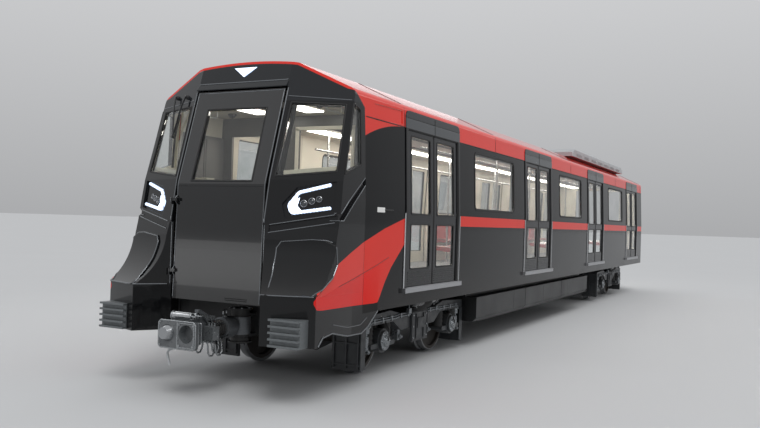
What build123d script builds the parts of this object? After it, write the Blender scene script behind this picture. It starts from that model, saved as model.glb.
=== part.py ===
"""A metro car with a driving cab, as an assembly of separate pieces.

Millimetres. +X points forwards, +Y to the car's left and +Z up. The plane
z = 0 is the one that the wheel flanges stand on, and x = 0 is halfway
between the front coupler's face and the gangway's rear face.
"""
import os
from math import cos, radians, sin, tan

from build123d import *

os.makedirs("parts", exist_ok=True)

LEFT, RIGHT = 1, -1
SEAT_GAP = 0.3                  # running gap at a seat, pin or journal

# Body shell: half widths and heights of its cross-section
HALF_W = 1400
SILL_Z = 900
LEAN_Z = 2100                   # the side leans inwards above this height
LEAN_IN = 50                    # how far the side leans in, up to the eaves
EAVES_Y, EAVES_Z = HALF_W - LEAN_IN, 3360
SHOULDER_IN = 700               # from the side to the shoulder of the roof
SHOULDER_Y, SHOULDER_Z = HALF_W - SHOULDER_IN, 3665
CROWN_Z = 3710
LEAN_R = 3000
EAVES_R = 90
WALL_T = 70
LINING_Y = HALF_W - WALL_T      # inner face of the side wall
RED_Z = 3090                    # lower edge of the roof panel
# Tip of the roof panel in side view: arc start, middle and end, then its front edge
RED_TIP = ((7600, RED_Z), (8225, 3040), (8765, 2880), (8778, 3190), (9035, 3387))
# Shallow panel in the roof's side beside the cab: x, z
ROOF_PANEL = ((8531, 3271), (7812, 3285), (7812, 3125), (8506, 3085))
ROOF_PANEL_DEPTH = 8
REAR_X = -9745
SEAM_X = 8765                   # joint between side wall and front mask

# Floor
FLOOR_Z = 1120
FLOOR_T = 160
FLOOR_FRONT_X = 9400
KINGPIN_Z = 560
JACK_XS = (5015, -4700)
JACK_L, JACK_W = 180, 150

# Nose: faces of the mask, raked above the knee
ROOF_EDGE_T = 30                # the roof panel's thickness where it meets the mask
NOSE_X = 9500
WING_Y = 640                    # the wing's face is measured at this half width
YAW = 20                        # each wing is turned back by this angle
KNEE_X, KNEE_Z = 9535, 2340
WING_RAKE = 16.2
BELT_X, BELT_Z = 9619, 1850     # crease under the headlamps
CHEEK_X, CHEEK_Z = 9655, 1700
HOLLOW_X, HOLLOW_Z = 9765, 1385
CHIN_X, CHIN_Z = 10020, 1140
SKIRT_Z = 630
MASK_T = 60
TOP_Z = 3850                    # above the roof, for prisms that are cut off
BACK_X = 7000
ACROSS = HALF_W + 600           # reach of cuts that go right through the car's sides
NOSE_MARGIN = 500
NOSE_REACH = CHIN_X - SEAM_X + NOSE_MARGIN
WEDGE_REACH, WEDGE_SPREAD = 700, 33   # plan of the space between the cheeks

# Glass of the nose: windscreen corners as (half width, height), quarter window as (x, z)
WINDSCREEN = ((715, 3192), (698, 2385), (HALF_W - 100, 2450), (HALF_W - 130, 3172))
WINDSCREEN_R = 25
QUARTER_WINDOW = ((9015, 3190), (8885, 3140), (8875, 2550), (9210, 2430))
QUARTER_CUT = 300               # thickness of its cut, half of it inside the body's side
GLASS_PLANE_H = 500             # height over which the windscreen's plane is taken

GLASS_BACK = 14                 # the nose's glass lies this far behind its face

# Belt channel under the headlamps: its edges as (half width, height) across the wing's face,
# then as (x, z) where it climbs along the side
BELT_FRONT = ((700, 1778), (HALF_W + 70, 1925), (HALF_W + 70, 1990), (700, 1848))
BELT_SIDE = ((9420, 1925), (9250, 1925), (9051, 2105), (8765, 2330), (8765, 2400), (9120, 2140),
             (9290, 1990), (9420, 1990))
BELT_FRONT_DEPTH, BELT_SIDE_DEPTH = 16, 28

# Raised cheek panels: outline as (half width, height) from the front and as (x, z) from the side
CHEEK_PROUD = 12
CHEEK_FRONT = ((905, CHIN_Z), (822, 1432), (808, 1620), (850, 1690), (HALF_W - 236, 1722),
               (HALF_W - 88, 1716), (HALF_W + 100, 1716), (HALF_W + 100, CHIN_Z))
CHEEK_SIDE = ((9770, CHIN_Z), (9605, 1228), (9440, 1318), (9350, 1454), (9380, 1640), (9440, 1722),
              (10200, 1722), (10200, CHIN_Z))

# Visor over the front door
VISOR_Z0, VISOR_Z1, VISOR_PROUD = 3386, 3472, 26

# Skirts and anti-climbers under the chin
SKIRT_T = 40
# Lower edge of the skirt in side view, from its rear end to the chin: x, z
SKIRT_EDGE = ((8380, SILL_Z), (8618, 737), (8778, 676), (9091, 680), (9409, 742), (9600, 715),
              (9690, SKIRT_Z))
SKIRT_INNER_Y = HALF_W - 100
SKIRT_OPEN_X = 9450
ANTICLIMB_W = 360
ANTICLIMB_Y1 = HALF_W - 65
ANTICLIMB_Y0 = ANTICLIMB_Y1 - ANTICLIMB_W
ANTICLIMB_Z0, ANTICLIMB_Z1 = 638, 920
ANTICLIMB_X, ANTICLIMB_BACK_X = 9960, 9650
RIB_COUNT, RIB_T, RIB_D = 5, 22, 45

# Lamps: the headlamp's strip as (half width, height), from its upper to its lower end
LAMP_STRIP = ((HALF_W - 138, 2296), (HALF_W - 440, 2210), (HALF_W - 532, 2070),
              (HALF_W - 495, 1985), (HALF_W - 115, 2050))
LAMP_W, LAMP_BEND_R, LAMP_T, LAMP_PROUD = 32, 40, 20, 10
# Pocket that the strip lies in, same coordinates
LAMP_POCKET = ((HALF_W - 65, 2336), (HALF_W - 470, 2258), (HALF_W - 600, 2080),
               (HALF_W - 550, 1915), (HALF_W - 65, 2008))
POCKET_DEPTH, POCKET_R = 24, 18
MARKER = ((-155, 3640), (155, 3640), (0, 3530))

# Front door, bent at its own knee
DOOR_HALF = 608
JAMB_Y = 630
DOOR_T = 45
DOOR_FOOT_X, DOOR_FOOT_Z = 9592, 988
DOOR_KNEE_X, DOOR_KNEE_Z = 9560, 2286
DOOR_RAKE = 16.4
DOOR_HEAD_Z = 3371
HEAD_GAP = 20
JAMB_DEPTH = 170
DOOR_PANE = ((-407, 2331), (407, 2331), (400, 3139), (-400, 3139))
HINGE_X, HINGE_Y = 9630, -630
HINGE_ARM = 62
HINGE_R = 11
HINGE_PIN_R = 6
KNUCKLE_L = 36
HINGE_ZS = (1250, 2050)

# Passenger doors: one row for each pair of leaves, both sides alike
DOOR_XS = (6835, 1885, -3065, -8015)
PORTAL_HALF = 890
PORTAL_TOP_Z = 3314
PORTAL_R = 90
FRAME_W = 60
FRAME_PROUD = 12
OPENING_TOP_Z = 3085
LEAF_BACK = 10                  # the leaf lies this far behind the wall's face
LEAF_T = 45
THRESHOLD_T = 60
THRESHOLD_PROUD = 50
THRESHOLD_HALF = 930
GLASS_T = 12
CAP_SEAM_Z = 3215               # groove across the portal's cap
SEAM_W, SEAM_DEPTH = 10, 8
LEAF_MEET = 2                   # half the gap between two leaves
PANE_X0, PANE_X1 = 105, 705     # a leaf's panes, from the doorway's middle
LEAF_PANES = ((1345, 1906), (2035, 3010))
PANE_R = 25
PANE_BACK = 8

# Side windows
WINDOW_XS = (4360, -590, -5540)
WINDOW_W = 2000
WINDOW_Z0, WINDOW_Z1 = 2110, 3050
WINDOW_R = 120
WINDOW_FRAME = 60
WINDOW_PROUD = 6
WINDOW_GLASS_BACK = 12

# Bogies, wheelsets
BOGIE_XS = {"front": 6585, "rear": -6415}
WHEELBASE = 2200
AXLE_X = WHEELBASE / 2
TREAD_R = 420
FLANGE_R = 448
AXLE_Z = FLANGE_R
KINGPIN_R = 70
AXLE_R = 85
JOURNAL_R = 65
# Half section of a wheelset: distance from the middle, radius
WHEEL_SECTION = ((660, 85), (660, 125), (745, 130), (745, 355), (680, 360), (680, 444), (686, 448),
                 (704, 448), (714, 422), (815, 418), (815, 360), (772, 355), (772, 130), (830, 125),
                 (830, 75), (900, 75), (900, 65), (1120, 65), (1120, 0))
BEAM_Y = 1010
BEAM_W = 170
BEAM_END = AXLE_X + 500
BEAM_LOW_Z, BEAM_TOP_Z = 650, 770
# Side view of the front half of a side beam, dropped between the wheels: x, z
BEAM_HALF = ((0, 520), (AXLE_X - 560, 520), (AXLE_X - 340, BEAM_LOW_Z), (BEAM_END, BEAM_LOW_Z),
             (BEAM_END, BEAM_TOP_Z), (AXLE_X - 240, BEAM_TOP_Z + 30), (AXLE_X - 540, BEAM_TOP_Z - 30),
             (0, BEAM_TOP_Z - 30))
TRANSOM_X = 300
TRANSOM_Z0, TRANSOM_Z1 = 540, 730
SIDE_PLATE_X, SIDE_PLATE_Z0, SIDE_PLATE_Z1 = 260, 330, 730
GUARD_Y0, GUARD_Z, GUARD_T = 700, 130, 40
AIR_SPRING_R, AIR_SPRING_Z0 = 270, 740
SPRING_OUT, SPRING_R, SPRING_RINGS = 240, 85, 4
BOX_R, BOX_Y0, BOX_Y1 = 150, 925, 1125
BOX_WING_Z, SPRING_Z0 = 370, 430
MOTOR_X, MOTOR_R, MOTOR_Y0, MOTOR_Y1 = AXLE_X - 510, 200, 60, 420
GEAR_W, GEAR_SMALL_R, GEAR_BIG_R = 110, 150, 210
BRAKE_X0, BRAKE_X1, BRAKE_Y0 = AXLE_X - 630, AXLE_X - 460, 700
BRAKE_BACK_ZS, BRAKE_NOSE_ZS = (420, 600), (380, 540)
BLOCK_T, BLOCK_H, BLOCK_W, BLOCK_GAP = 110, 260, 90, 6

# Ends
GANGWAY_HALF = 700
GANGWAY_TOP_Z = 3150
BELLOWS_HALF, BELLOWS_Z0, BELLOWS_Z1 = 1020, 1030, 3330
BELLOWS_T, BELLOWS_FOLDS, BELLOWS_DEPTH = 60, 5, 35
GANGWAY_FRAME_T = 45
BRIDGE_HALF = 640
COUPLER_FACE_X = 10180
EYE_R, EYE_H, COUPLER_PIN_R = 120, 200, 45
SHANK_R = 75
HEAD_BACK_X = 9870
HEAD_HALF, HEAD_H, HEAD_PLATE_T = 245, 283, 50
CONE_R, CONE_L = 90, 70
CYLINDER_R = 38
WEB_FRONT, WEB_H, WEB_L, WEB_T = 10, 235, 330, 50
DRUM_R, DRUM_H, DRUM_RIM_R, DRUM_RIM_H = 110, 62, 135, 18
HEADSTOCK_GAP, HEADSTOCK_T, HEADSTOCK_Y, HEADSTOCK_Z = 170, 160, 900, 560
LUG_T = 35
FLANGE_PLATE_R, FLANGE_PLATE_T = 140, 40
BOLT_CIRCLE_R, BOLT_COUNT, BOLT_HOLE_R = 110, 4, 11
REAR_END_X = -10250
COUPLER_Z = 690
COUPLER_PIVOT_X = 9115
GANGWAY_X = -10180
REAR_PIVOT_X = -9150

# Roof unit and underfloor cases
UNIT_X0, UNIT_X1 = -8950, -2550
UNIT_HALF, UNIT_Z, UNIT_EDGE_Z = 900, 3870, 3760
UNIT_SLOPE, UNIT_CHAMFER = 350, 40
BOGIE_SWING_GAP = 105           # the turned bogie's corner comes 76 closer
CASE_END_X = BOGIE_XS["front"] - BEAM_END - GUARD_T / 2 - BOGIE_SWING_GAP
CASE_XS = ((-2700, -320), (-300, 2280), (2300, CASE_END_X))
CASE_Y0, CASE_Y1, CASE_Z0, CASE_Z1 = 250, HALF_W - 100, 420, 800
CASE_RAIL_YS = (400, CASE_Y1 - 250)

# Inside
CEILING_Z, CEILING_T = 3240, 30
LIGHT_Y0, LIGHT_Y1, LIGHT_T = 560, 760, 18
PARTITION_X, PARTITION_T = 7900, 40
PARTITION_DOOR_Y0, PARTITION_DOOR_Y1, PARTITION_DOOR_Z = -50, 720, 3060
PARTITION_WINDOW = ((-1120, -620), (1900, 3000))    # y, z
CAB_CEILING_Z = 3250
DESK_X0, DESK_X1, DESK_Z = 8760, 9130, 1960
DASH_X, DASH_Z = 9270, 2370     # top of the dashboard, behind the windscreen
DESK_Y0, DESK_Y1 = 430, 1080
CAB_SEAT_X, CAB_SEAT_Y, CAB_SEAT_HALF = 8300, -760, 220
SEAT_BASE_R, SEAT_BASE_T, SEAT_POST_R, SEAT_POST_H = 150, 20, 40, 420
SEAT_L, SEAT_T, BACK_T, BACK_H, CUSHION_R = 460, 90, 80, 690, 30
BENCH_L = 2900
# Section of a bench on the left wall: y, z
BENCH_SECTION = ((LINING_Y, 1500), (LINING_Y - 400, 1540), (LINING_Y - 430, 1570),
                 (LINING_Y - 400, 1600), (LINING_Y - 60, 1575), (LINING_Y - 35, 2020), (LINING_Y, 2030))
POLE_R, POLE_Y, RAIL_Z = 18, LINING_Y - 450, 3000


def side_y(z):
    """Half width of the body's outer face at height z."""
    if z <= LEAN_Z:
        return HALF_W
    return HALF_W - (HALF_W - EAVES_Y) * (z - LEAN_Z) / (EAVES_Z - LEAN_Z)


def door_face_x(z):
    """Front face of the door at height z."""
    if z > DOOR_KNEE_Z:
        return DOOR_KNEE_X - (z - DOOR_KNEE_Z) * tan(radians(DOOR_RAKE))
    share = (z - DOOR_FOOT_Z) / (DOOR_KNEE_Z - DOOR_FOOT_Z)
    return DOOR_FOOT_X + share * (DOOR_KNEE_X - DOOR_FOOT_X)


def wing_face_x(z):
    """Front face of the raked wing at WING_Y, for heights above the knee."""
    return KNEE_X - (z - KNEE_Z) * tan(radians(WING_RAKE))


def body_outline(inset=0.0, base=SILL_Z):
    """Draws the body's cross-section, moved inwards by inset and open below base."""
    low = base - 2 * inset
    with BuildSketch() as section:
        with BuildLine():
            for side in (LEFT, RIGHT):
                FilletPolyline(
                    (side * HALF_W, low), (side * HALF_W, LEAN_Z),
                    (side * EAVES_Y, EAVES_Z), (side * SHOULDER_Y, SHOULDER_Z),
                    radius=[LEAN_R, EAVES_R])
            ThreePointArc((-SHOULDER_Y, SHOULDER_Z), (0, CROWN_Z), (SHOULDER_Y, SHOULDER_Z))
            Line((-HALF_W, low), (HALF_W, low))
        make_face()
        if inset:
            offset(amount=-inset, kind=Kind.INTERSECTION)
    return section.sketch


def wing_outline(inset=0.0):
    """Draws the wing's side view in its own turned plane, moved inwards by inset."""
    turn = cos(radians(YAW))
    low = SKIRT_Z - 2 * inset
    high = TOP_Z + 2 * inset
    back = BACK_X - NOSE_X - 2 * inset
    top = ((wing_face_x(high) - NOSE_X) * turn, high)
    knee = ((KNEE_X - NOSE_X) * turn, KNEE_Z)
    belt = ((BELT_X - NOSE_X) * turn, BELT_Z)
    cheek = ((CHEEK_X - NOSE_X) * turn, CHEEK_Z)
    hollow = ((HOLLOW_X - NOSE_X) * turn, HOLLOW_Z)
    chin = ((CHIN_X - NOSE_X) * turn, CHIN_Z)
    with BuildSketch() as section:
        with BuildLine():
            Polyline((back, high), top, knee, belt, cheek)
            ThreePointArc(cheek, hollow, chin)
            Polyline(chin, (chin[0], low), (back, low), (back, high))
        make_face()
        if inset:
            offset(amount=-inset, kind=Kind.INTERSECTION)
    return section.sketch


def wing_plane(side):
    """Upright plane across a wing: its x runs forwards, square to the wing's face."""
    turn = radians(YAW)
    return Plane(origin=(NOSE_X, side * WING_Y, 0),
                 x_dir=(cos(turn), side * sin(turn), 0),
                 z_dir=(side * sin(turn), -cos(turn), 0))


def door_outline(inset=0.0):
    """Draws the middle of the nose in side view, moved inwards by inset."""
    low = SKIRT_Z - 2 * inset
    high = TOP_Z + 2 * inset
    back = BACK_X - 2 * inset
    with BuildSketch() as section:
        with BuildLine():
            Polyline((back, low), (DOOR_FOOT_X, low), (DOOR_FOOT_X, DOOR_FOOT_Z),
                     (DOOR_KNEE_X, DOOR_KNEE_Z), (door_face_x(high), high), (back, high),
                     (back, low))
        make_face()
        if inset:
            offset(amount=-inset, kind=Kind.INTERSECTION)
    return section.sketch


def wedge_outline(inset=0.0):
    """Draws, in plan, the space inboard of both cheeks, grown by inset."""
    reach = WEDGE_REACH
    spread = reach * tan(radians(WEDGE_SPREAD))
    with BuildSketch() as section:
        with BuildLine():
            Polyline((DOOR_FOOT_X - 15, -JAMB_Y), (DOOR_FOOT_X - 15, JAMB_Y),
                     (DOOR_FOOT_X + reach, JAMB_Y + spread),
                     (DOOR_FOOT_X + reach, -JAMB_Y - spread), (DOOR_FOOT_X - 15, -JAMB_Y))
        make_face()
        if inset:
            offset(amount=inset, kind=Kind.INTERSECTION)
    return section.sketch


def half_wing(side, inset):
    """One wing of the nose, filled, moved inwards by inset."""
    with BuildPart() as prism:
        with BuildSketch(wing_plane(side)):
            add(wing_outline(inset))
        extrude(amount=ACROSS, both=True)
        with BuildSketch(Plane.YZ.offset(SEAM_X)):
            add(body_outline(inset, SKIRT_Z))
        extrude(amount=NOSE_REACH, mode=Mode.INTERSECT)
        with BuildSketch(Plane.XY):
            with Locations((NOSE_X, side * (JAMB_Y + inset + ACROSS / 2))):
                Rectangle(2 * NOSE_REACH, ACROSS)
        extrude(amount=TOP_Z, mode=Mode.INTERSECT)
        with BuildSketch(Plane.XY):
            add(wedge_outline(inset))
        extrude(amount=BELT_Z, mode=Mode.SUBTRACT)
    return prism.part


def middle_form(inset):
    """The nose between the wings, filled, moved inwards by inset."""
    with BuildPart() as prism:
        with BuildSketch(Plane.XZ):
            add(door_outline(inset))
        extrude(amount=JAMB_Y, both=True)
        with BuildSketch(Plane.YZ.offset(SEAM_X)):
            add(body_outline(inset, SKIRT_Z))
        extrude(amount=NOSE_REACH, mode=Mode.INTERSECT)
    return prism.part


def red_zone():
    """Side view of what the red roof panel covers, with its tip beside the cab."""
    start, middle, tip, front, corner = RED_TIP
    back = REAR_X - 100
    fore = CHIN_X
    with BuildSketch() as section:
        with BuildLine():
            Polyline((back, TOP_Z), (back, RED_Z), start)
            ThreePointArc(start, middle, tip)
            Polyline(tip, front, corner, (fore, corner[1]), (fore, TOP_Z), (back, TOP_Z))
        make_face()
    return section.sketch


def box(x, y, z):
    """A box between two corners, given as (low, high) for each axis."""
    with Locations(((x[0] + x[1]) / 2, (y[0] + y[1]) / 2, (z[0] + z[1]) / 2)):
        Box(abs(x[1] - x[0]), abs(y[1] - y[0]), abs(z[1] - z[0]))


def polygon(points):
    """A filled outline through points."""
    with BuildSketch() as section:
        with BuildLine():
            Polyline(*points, points[0])
        make_face()
    return section.sketch


# Walls and roof

with BuildPart() as shell:
    with BuildSketch(Plane.YZ.offset(REAR_X)):
        add(body_outline())
    extrude(amount=SEAM_X - REAR_X)
    with BuildSketch(Plane.YZ.offset(REAR_X)):
        add(body_outline(WALL_T))
    extrude(amount=SEAM_X - REAR_X, mode=Mode.SUBTRACT)
    # doorways, down to the underside of the thresholds
    with BuildSketch(Plane.XZ) as doorway:
        for x in DOOR_XS:
            with Locations((x, (PORTAL_TOP_Z + FLOOR_Z - THRESHOLD_T) / 2)):
                Rectangle(2 * PORTAL_HALF, PORTAL_TOP_Z - FLOOR_Z + THRESHOLD_T)
        fillet(doorway.vertices().group_by(Axis.Y)[-1], PORTAL_R)
    extrude(amount=ACROSS, both=True, mode=Mode.SUBTRACT)
    # side windows
    with BuildSketch(Plane.XZ):
        for x in WINDOW_XS:
            with Locations((x, (WINDOW_Z0 + WINDOW_Z1) / 2)):
                RectangleRounded(WINDOW_W - WINDOW_FRAME, WINDOW_Z1 - WINDOW_Z0 - WINDOW_FRAME,
                                 WINDOW_R - WINDOW_FRAME / 2)
    extrude(amount=ACROSS, both=True, mode=Mode.SUBTRACT)

for side, name in ((LEFT, "side_wall_left"), (RIGHT, "side_wall_right")):
    with BuildPart() as wall:
        add(shell.part)
        with BuildSketch(Plane.XZ):
            add(red_zone())
        extrude(amount=ACROSS, both=True, mode=Mode.SUBTRACT)
        with BuildSketch(Plane.XY):
            with Locations((0, -side * ACROSS / 2)):
                Rectangle(3 * CHIN_X, ACROSS)
        extrude(amount=TOP_Z, mode=Mode.SUBTRACT)
    wall.part.label = name
    export_step(wall.part, f"parts/{name}.step")

with BuildPart() as nose_faces:
    add(half_wing(LEFT, 0))
    add(half_wing(RIGHT, 0))
    add(middle_form(0))

with BuildPart() as roof:
    add(nose_faces.part)
    with BuildSketch(Plane.YZ.offset(SEAM_X)):
        add(body_outline(ROOF_EDGE_T))
    extrude(amount=NOSE_REACH, mode=Mode.SUBTRACT)
    add(shell.part)
    with BuildSketch(Plane.XZ):
        add(red_zone())
    extrude(amount=ACROSS, both=True, mode=Mode.INTERSECT)
    # shallow panel beside the cab
    with BuildPart(mode=Mode.SUBTRACT):
        with BuildSketch(Plane.YZ.offset(ROOF_PANEL[1][0])):
            add(body_outline())
            add(body_outline(ROOF_PANEL_DEPTH), mode=Mode.SUBTRACT)
        extrude(amount=SEAM_X - ROOF_PANEL[1][0])
        with BuildSketch(Plane.XZ):
            add(polygon(ROOF_PANEL))
        extrude(amount=ACROSS, both=True, mode=Mode.INTERSECT)
roof.part.label = "roof"
export_step(roof.part, "parts/roof.step")

with BuildPart() as rear_end_wall:
    with BuildSketch(Plane.YZ.offset(REAR_X)):
        add(body_outline(WALL_T))
        with Locations((0, SILL_Z - 100)):
            Rectangle(4000, 2 * (FLOOR_Z - SILL_Z + 100), mode=Mode.SUBTRACT)
        with Locations((0, (FLOOR_Z + GANGWAY_TOP_Z) / 2)):
            Rectangle(2 * GANGWAY_HALF, GANGWAY_TOP_Z - FLOOR_Z, mode=Mode.SUBTRACT)
    extrude(amount=WALL_T)
rear_end_wall.part.label = "rear_end_wall"
export_step(rear_end_wall.part, "parts/rear_end_wall.step")


# Passenger doorways

def wall_band(outside, inside, low, high):
    """Cross-section of a band of the left wall, from outside its face to inside it."""
    with BuildSketch() as section:
        with BuildLine():
            Polyline((HALF_W + outside, low), (HALF_W + outside, LEAN_Z),
                     (side_y(high) + outside, high), (side_y(high) - inside, high),
                     (HALF_W - inside, LEAN_Z), (HALF_W - inside, low), (HALF_W + outside, low))
        make_face()
    return section.sketch


with BuildPart() as portal_frames:
    with BuildSketch(Plane.YZ.offset(REAR_X)):
        add(wall_band(FRAME_PROUD, WALL_T, FLOOR_Z, PORTAL_TOP_Z))
    extrude(amount=SEAM_X - REAR_X)
    with BuildSketch(Plane.XZ) as outlines:
        for x in DOOR_XS:
            with Locations((x, (PORTAL_TOP_Z + FLOOR_Z) / 2)):
                Rectangle(2 * PORTAL_HALF, PORTAL_TOP_Z - FLOOR_Z)
        fillet(outlines.vertices().group_by(Axis.Y)[-1], PORTAL_R)
        for x in DOOR_XS:
            with Locations((x, (OPENING_TOP_Z + FLOOR_Z) / 2 - 50)):
                Rectangle(2 * (PORTAL_HALF - FRAME_W), OPENING_TOP_Z - FLOOR_Z + 100,
                          mode=Mode.SUBTRACT)
    extrude(amount=ACROSS, both=True, mode=Mode.INTERSECT)
    # seams across the cap and down its middle
    with BuildSketch(Plane.YZ.offset(REAR_X)):
        with BuildLine():
            seam_y = side_y(CAP_SEAM_Z) + FRAME_PROUD
            Polyline((seam_y - SEAM_DEPTH, CAP_SEAM_Z), (seam_y + 50, CAP_SEAM_Z),
                     (seam_y + 50, CAP_SEAM_Z + SEAM_W), (seam_y - SEAM_DEPTH, CAP_SEAM_Z + SEAM_W),
                     (seam_y - SEAM_DEPTH, CAP_SEAM_Z))
        make_face()
    extrude(amount=SEAM_X - REAR_X, mode=Mode.SUBTRACT)
    mirror(about=Plane.XZ)
portal_frames.part.label = "portal_frames"
export_step(portal_frames.part, "parts/portal_frames.step")

with BuildPart() as leaf_slab:
    with BuildSketch(Plane.YZ.offset(REAR_X)):
        add(wall_band(-LEAF_BACK, LEAF_BACK + LEAF_T, FLOOR_Z + SEAT_GAP, OPENING_TOP_Z - SEAT_GAP))
    extrude(amount=SEAM_X - REAR_X)
    mirror(about=Plane.XZ)

with BuildPart() as door_leaves:
    add(leaf_slab.part)
    with BuildSketch(Plane.XZ):
        for x in DOOR_XS:
            for hand in (-1, 1):
                middle = (LEAF_MEET + PORTAL_HALF - FRAME_W - SEAT_GAP) / 2
                with Locations((x + hand * middle, (OPENING_TOP_Z + FLOOR_Z) / 2)):
                    Rectangle(PORTAL_HALF - FRAME_W - SEAT_GAP - LEAF_MEET, 2 * OPENING_TOP_Z)
                for low, high in LEAF_PANES:
                    with Locations((x + hand * (PANE_X0 + PANE_X1) / 2, (low + high) / 2)):
                        RectangleRounded(PANE_X1 - PANE_X0, high - low, PANE_R, mode=Mode.SUBTRACT)
    extrude(amount=ACROSS, both=True, mode=Mode.INTERSECT)
door_leaves.part.label = "door_leaves"
export_step(door_leaves.part, "parts/door_leaves.step")

with BuildPart() as door_glass:
    with BuildSketch(Plane.YZ.offset(REAR_X)):
        add(wall_band(-LEAF_BACK - PANE_BACK, LEAF_BACK + PANE_BACK + GLASS_T,
                      FLOOR_Z, OPENING_TOP_Z))
    extrude(amount=SEAM_X - REAR_X)
    mirror(about=Plane.XZ)
    with BuildSketch(Plane.XZ):
        for x in DOOR_XS:
            for hand in (-1, 1):
                for low, high in LEAF_PANES:
                    with Locations((x + hand * (PANE_X0 + PANE_X1) / 2, (low + high) / 2)):
                        RectangleRounded(PANE_X1 - PANE_X0, high - low, PANE_R)
    extrude(amount=ACROSS, both=True, mode=Mode.INTERSECT)
door_glass.part.label = "door_glass"
export_step(door_glass.part, "parts/door_glass.step")

with BuildPart() as door_thresholds:
    for side in (LEFT, RIGHT):
        for x in DOOR_XS:
            box((x - PORTAL_HALF, x + PORTAL_HALF), (side * LINING_Y, side * HALF_W),
                (FLOOR_Z - THRESHOLD_T, FLOOR_Z))
            box((x - THRESHOLD_HALF, x + THRESHOLD_HALF),
                (side * HALF_W, side * (HALF_W + THRESHOLD_PROUD)), (FLOOR_Z - THRESHOLD_T, FLOOR_Z))
door_thresholds.part.label = "door_thresholds"
export_step(door_thresholds.part, "parts/door_thresholds.step")


# Side windows

with BuildPart() as side_window_frames:
    with BuildSketch(Plane.YZ.offset(REAR_X)):
        add(wall_band(WINDOW_PROUD, WALL_T, FLOOR_Z, RED_Z))
    extrude(amount=SEAM_X - REAR_X)
    with BuildSketch(Plane.XZ):
        for x in WINDOW_XS:
            with Locations((x, (WINDOW_Z0 + WINDOW_Z1) / 2)):
                RectangleRounded(WINDOW_W - WINDOW_FRAME, WINDOW_Z1 - WINDOW_Z0 - WINDOW_FRAME,
                                 WINDOW_R - WINDOW_FRAME / 2)
                RectangleRounded(WINDOW_W - 2 * WINDOW_FRAME, WINDOW_Z1 - WINDOW_Z0 - 2 * WINDOW_FRAME,
                                 WINDOW_R - WINDOW_FRAME, mode=Mode.SUBTRACT)
    extrude(amount=ACROSS, both=True, mode=Mode.INTERSECT)
    mirror(about=Plane.XZ)
side_window_frames.part.label = "side_window_frames"
export_step(side_window_frames.part, "parts/side_window_frames.step")

with BuildPart() as side_window_glass:
    with BuildSketch(Plane.YZ.offset(REAR_X)):
        add(wall_band(-WINDOW_GLASS_BACK, WINDOW_GLASS_BACK + GLASS_T, FLOOR_Z, RED_Z))
    extrude(amount=SEAM_X - REAR_X)
    with BuildSketch(Plane.XZ):
        for x in WINDOW_XS:
            with Locations((x, (WINDOW_Z0 + WINDOW_Z1) / 2)):
                RectangleRounded(WINDOW_W - 2 * WINDOW_FRAME, WINDOW_Z1 - WINDOW_Z0 - 2 * WINDOW_FRAME,
                                 WINDOW_R - WINDOW_FRAME)
    extrude(amount=ACROSS, both=True, mode=Mode.INTERSECT)
    mirror(about=Plane.XZ)
side_window_glass.part.label = "side_window_glass"
export_step(side_window_glass.part, "parts/side_window_glass.step")


# Front mask

def wing_point(side, y, z):
    """A point on the wing's front face above the belt, at half width y and height z."""
    if z > KNEE_Z:
        x = wing_face_x(z)
    else:
        x = KNEE_X + (BELT_X - KNEE_X) * (KNEE_Z - z) / (KNEE_Z - BELT_Z)
    return Vector(x - (y - WING_Y) * tan(radians(YAW)), side * y, z)


def wing_face_plane(side, low_z, high_z):
    """Plane of the wing's face between two heights: x runs outboard, normal forwards."""
    low = wing_point(side, WING_Y, low_z)
    along = wing_point(side, WING_Y + 100, low_z) - low
    up = wing_point(side, WING_Y, high_z) - low
    normal = along.cross(up) * side
    return Plane(origin=low, x_dir=along, z_dir=normal if normal.X > 0 else normal * -1)


def on_plane(plane, points):
    """Local coordinates of points that lie on a plane."""
    return [tuple(plane.to_local_coords(point))[:2] for point in points]


def windscreen_outline(side, plane, grow=0.0):
    """The windscreen's outline on the wing's raked face, grown by a margin."""
    corners = [wing_point(side, y, z) for y, z in WINDSCREEN]
    with BuildSketch() as section:
        add(polygon(on_plane(plane, corners)))
        fillet(section.vertices(), WINDSCREEN_R)
        if grow:
            offset(amount=grow)
    return section.sketch


def cheek_panel(side):
    """The skin by which the cheek panel stands proud of the wing."""
    with BuildPart() as skin:
        add(half_wing(side, -CHEEK_PROUD))
        add(nose_faces.part, mode=Mode.SUBTRACT)
        with BuildSketch(Plane.YZ.offset(SEAM_X)):
            add(polygon([(side * y, z) for y, z in CHEEK_FRONT]))
        extrude(amount=NOSE_REACH, mode=Mode.INTERSECT)
        with BuildSketch(Plane.XZ):
            add(polygon(CHEEK_SIDE))
        extrude(amount=ACROSS, both=True, mode=Mode.INTERSECT)
    return skin.part


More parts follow.
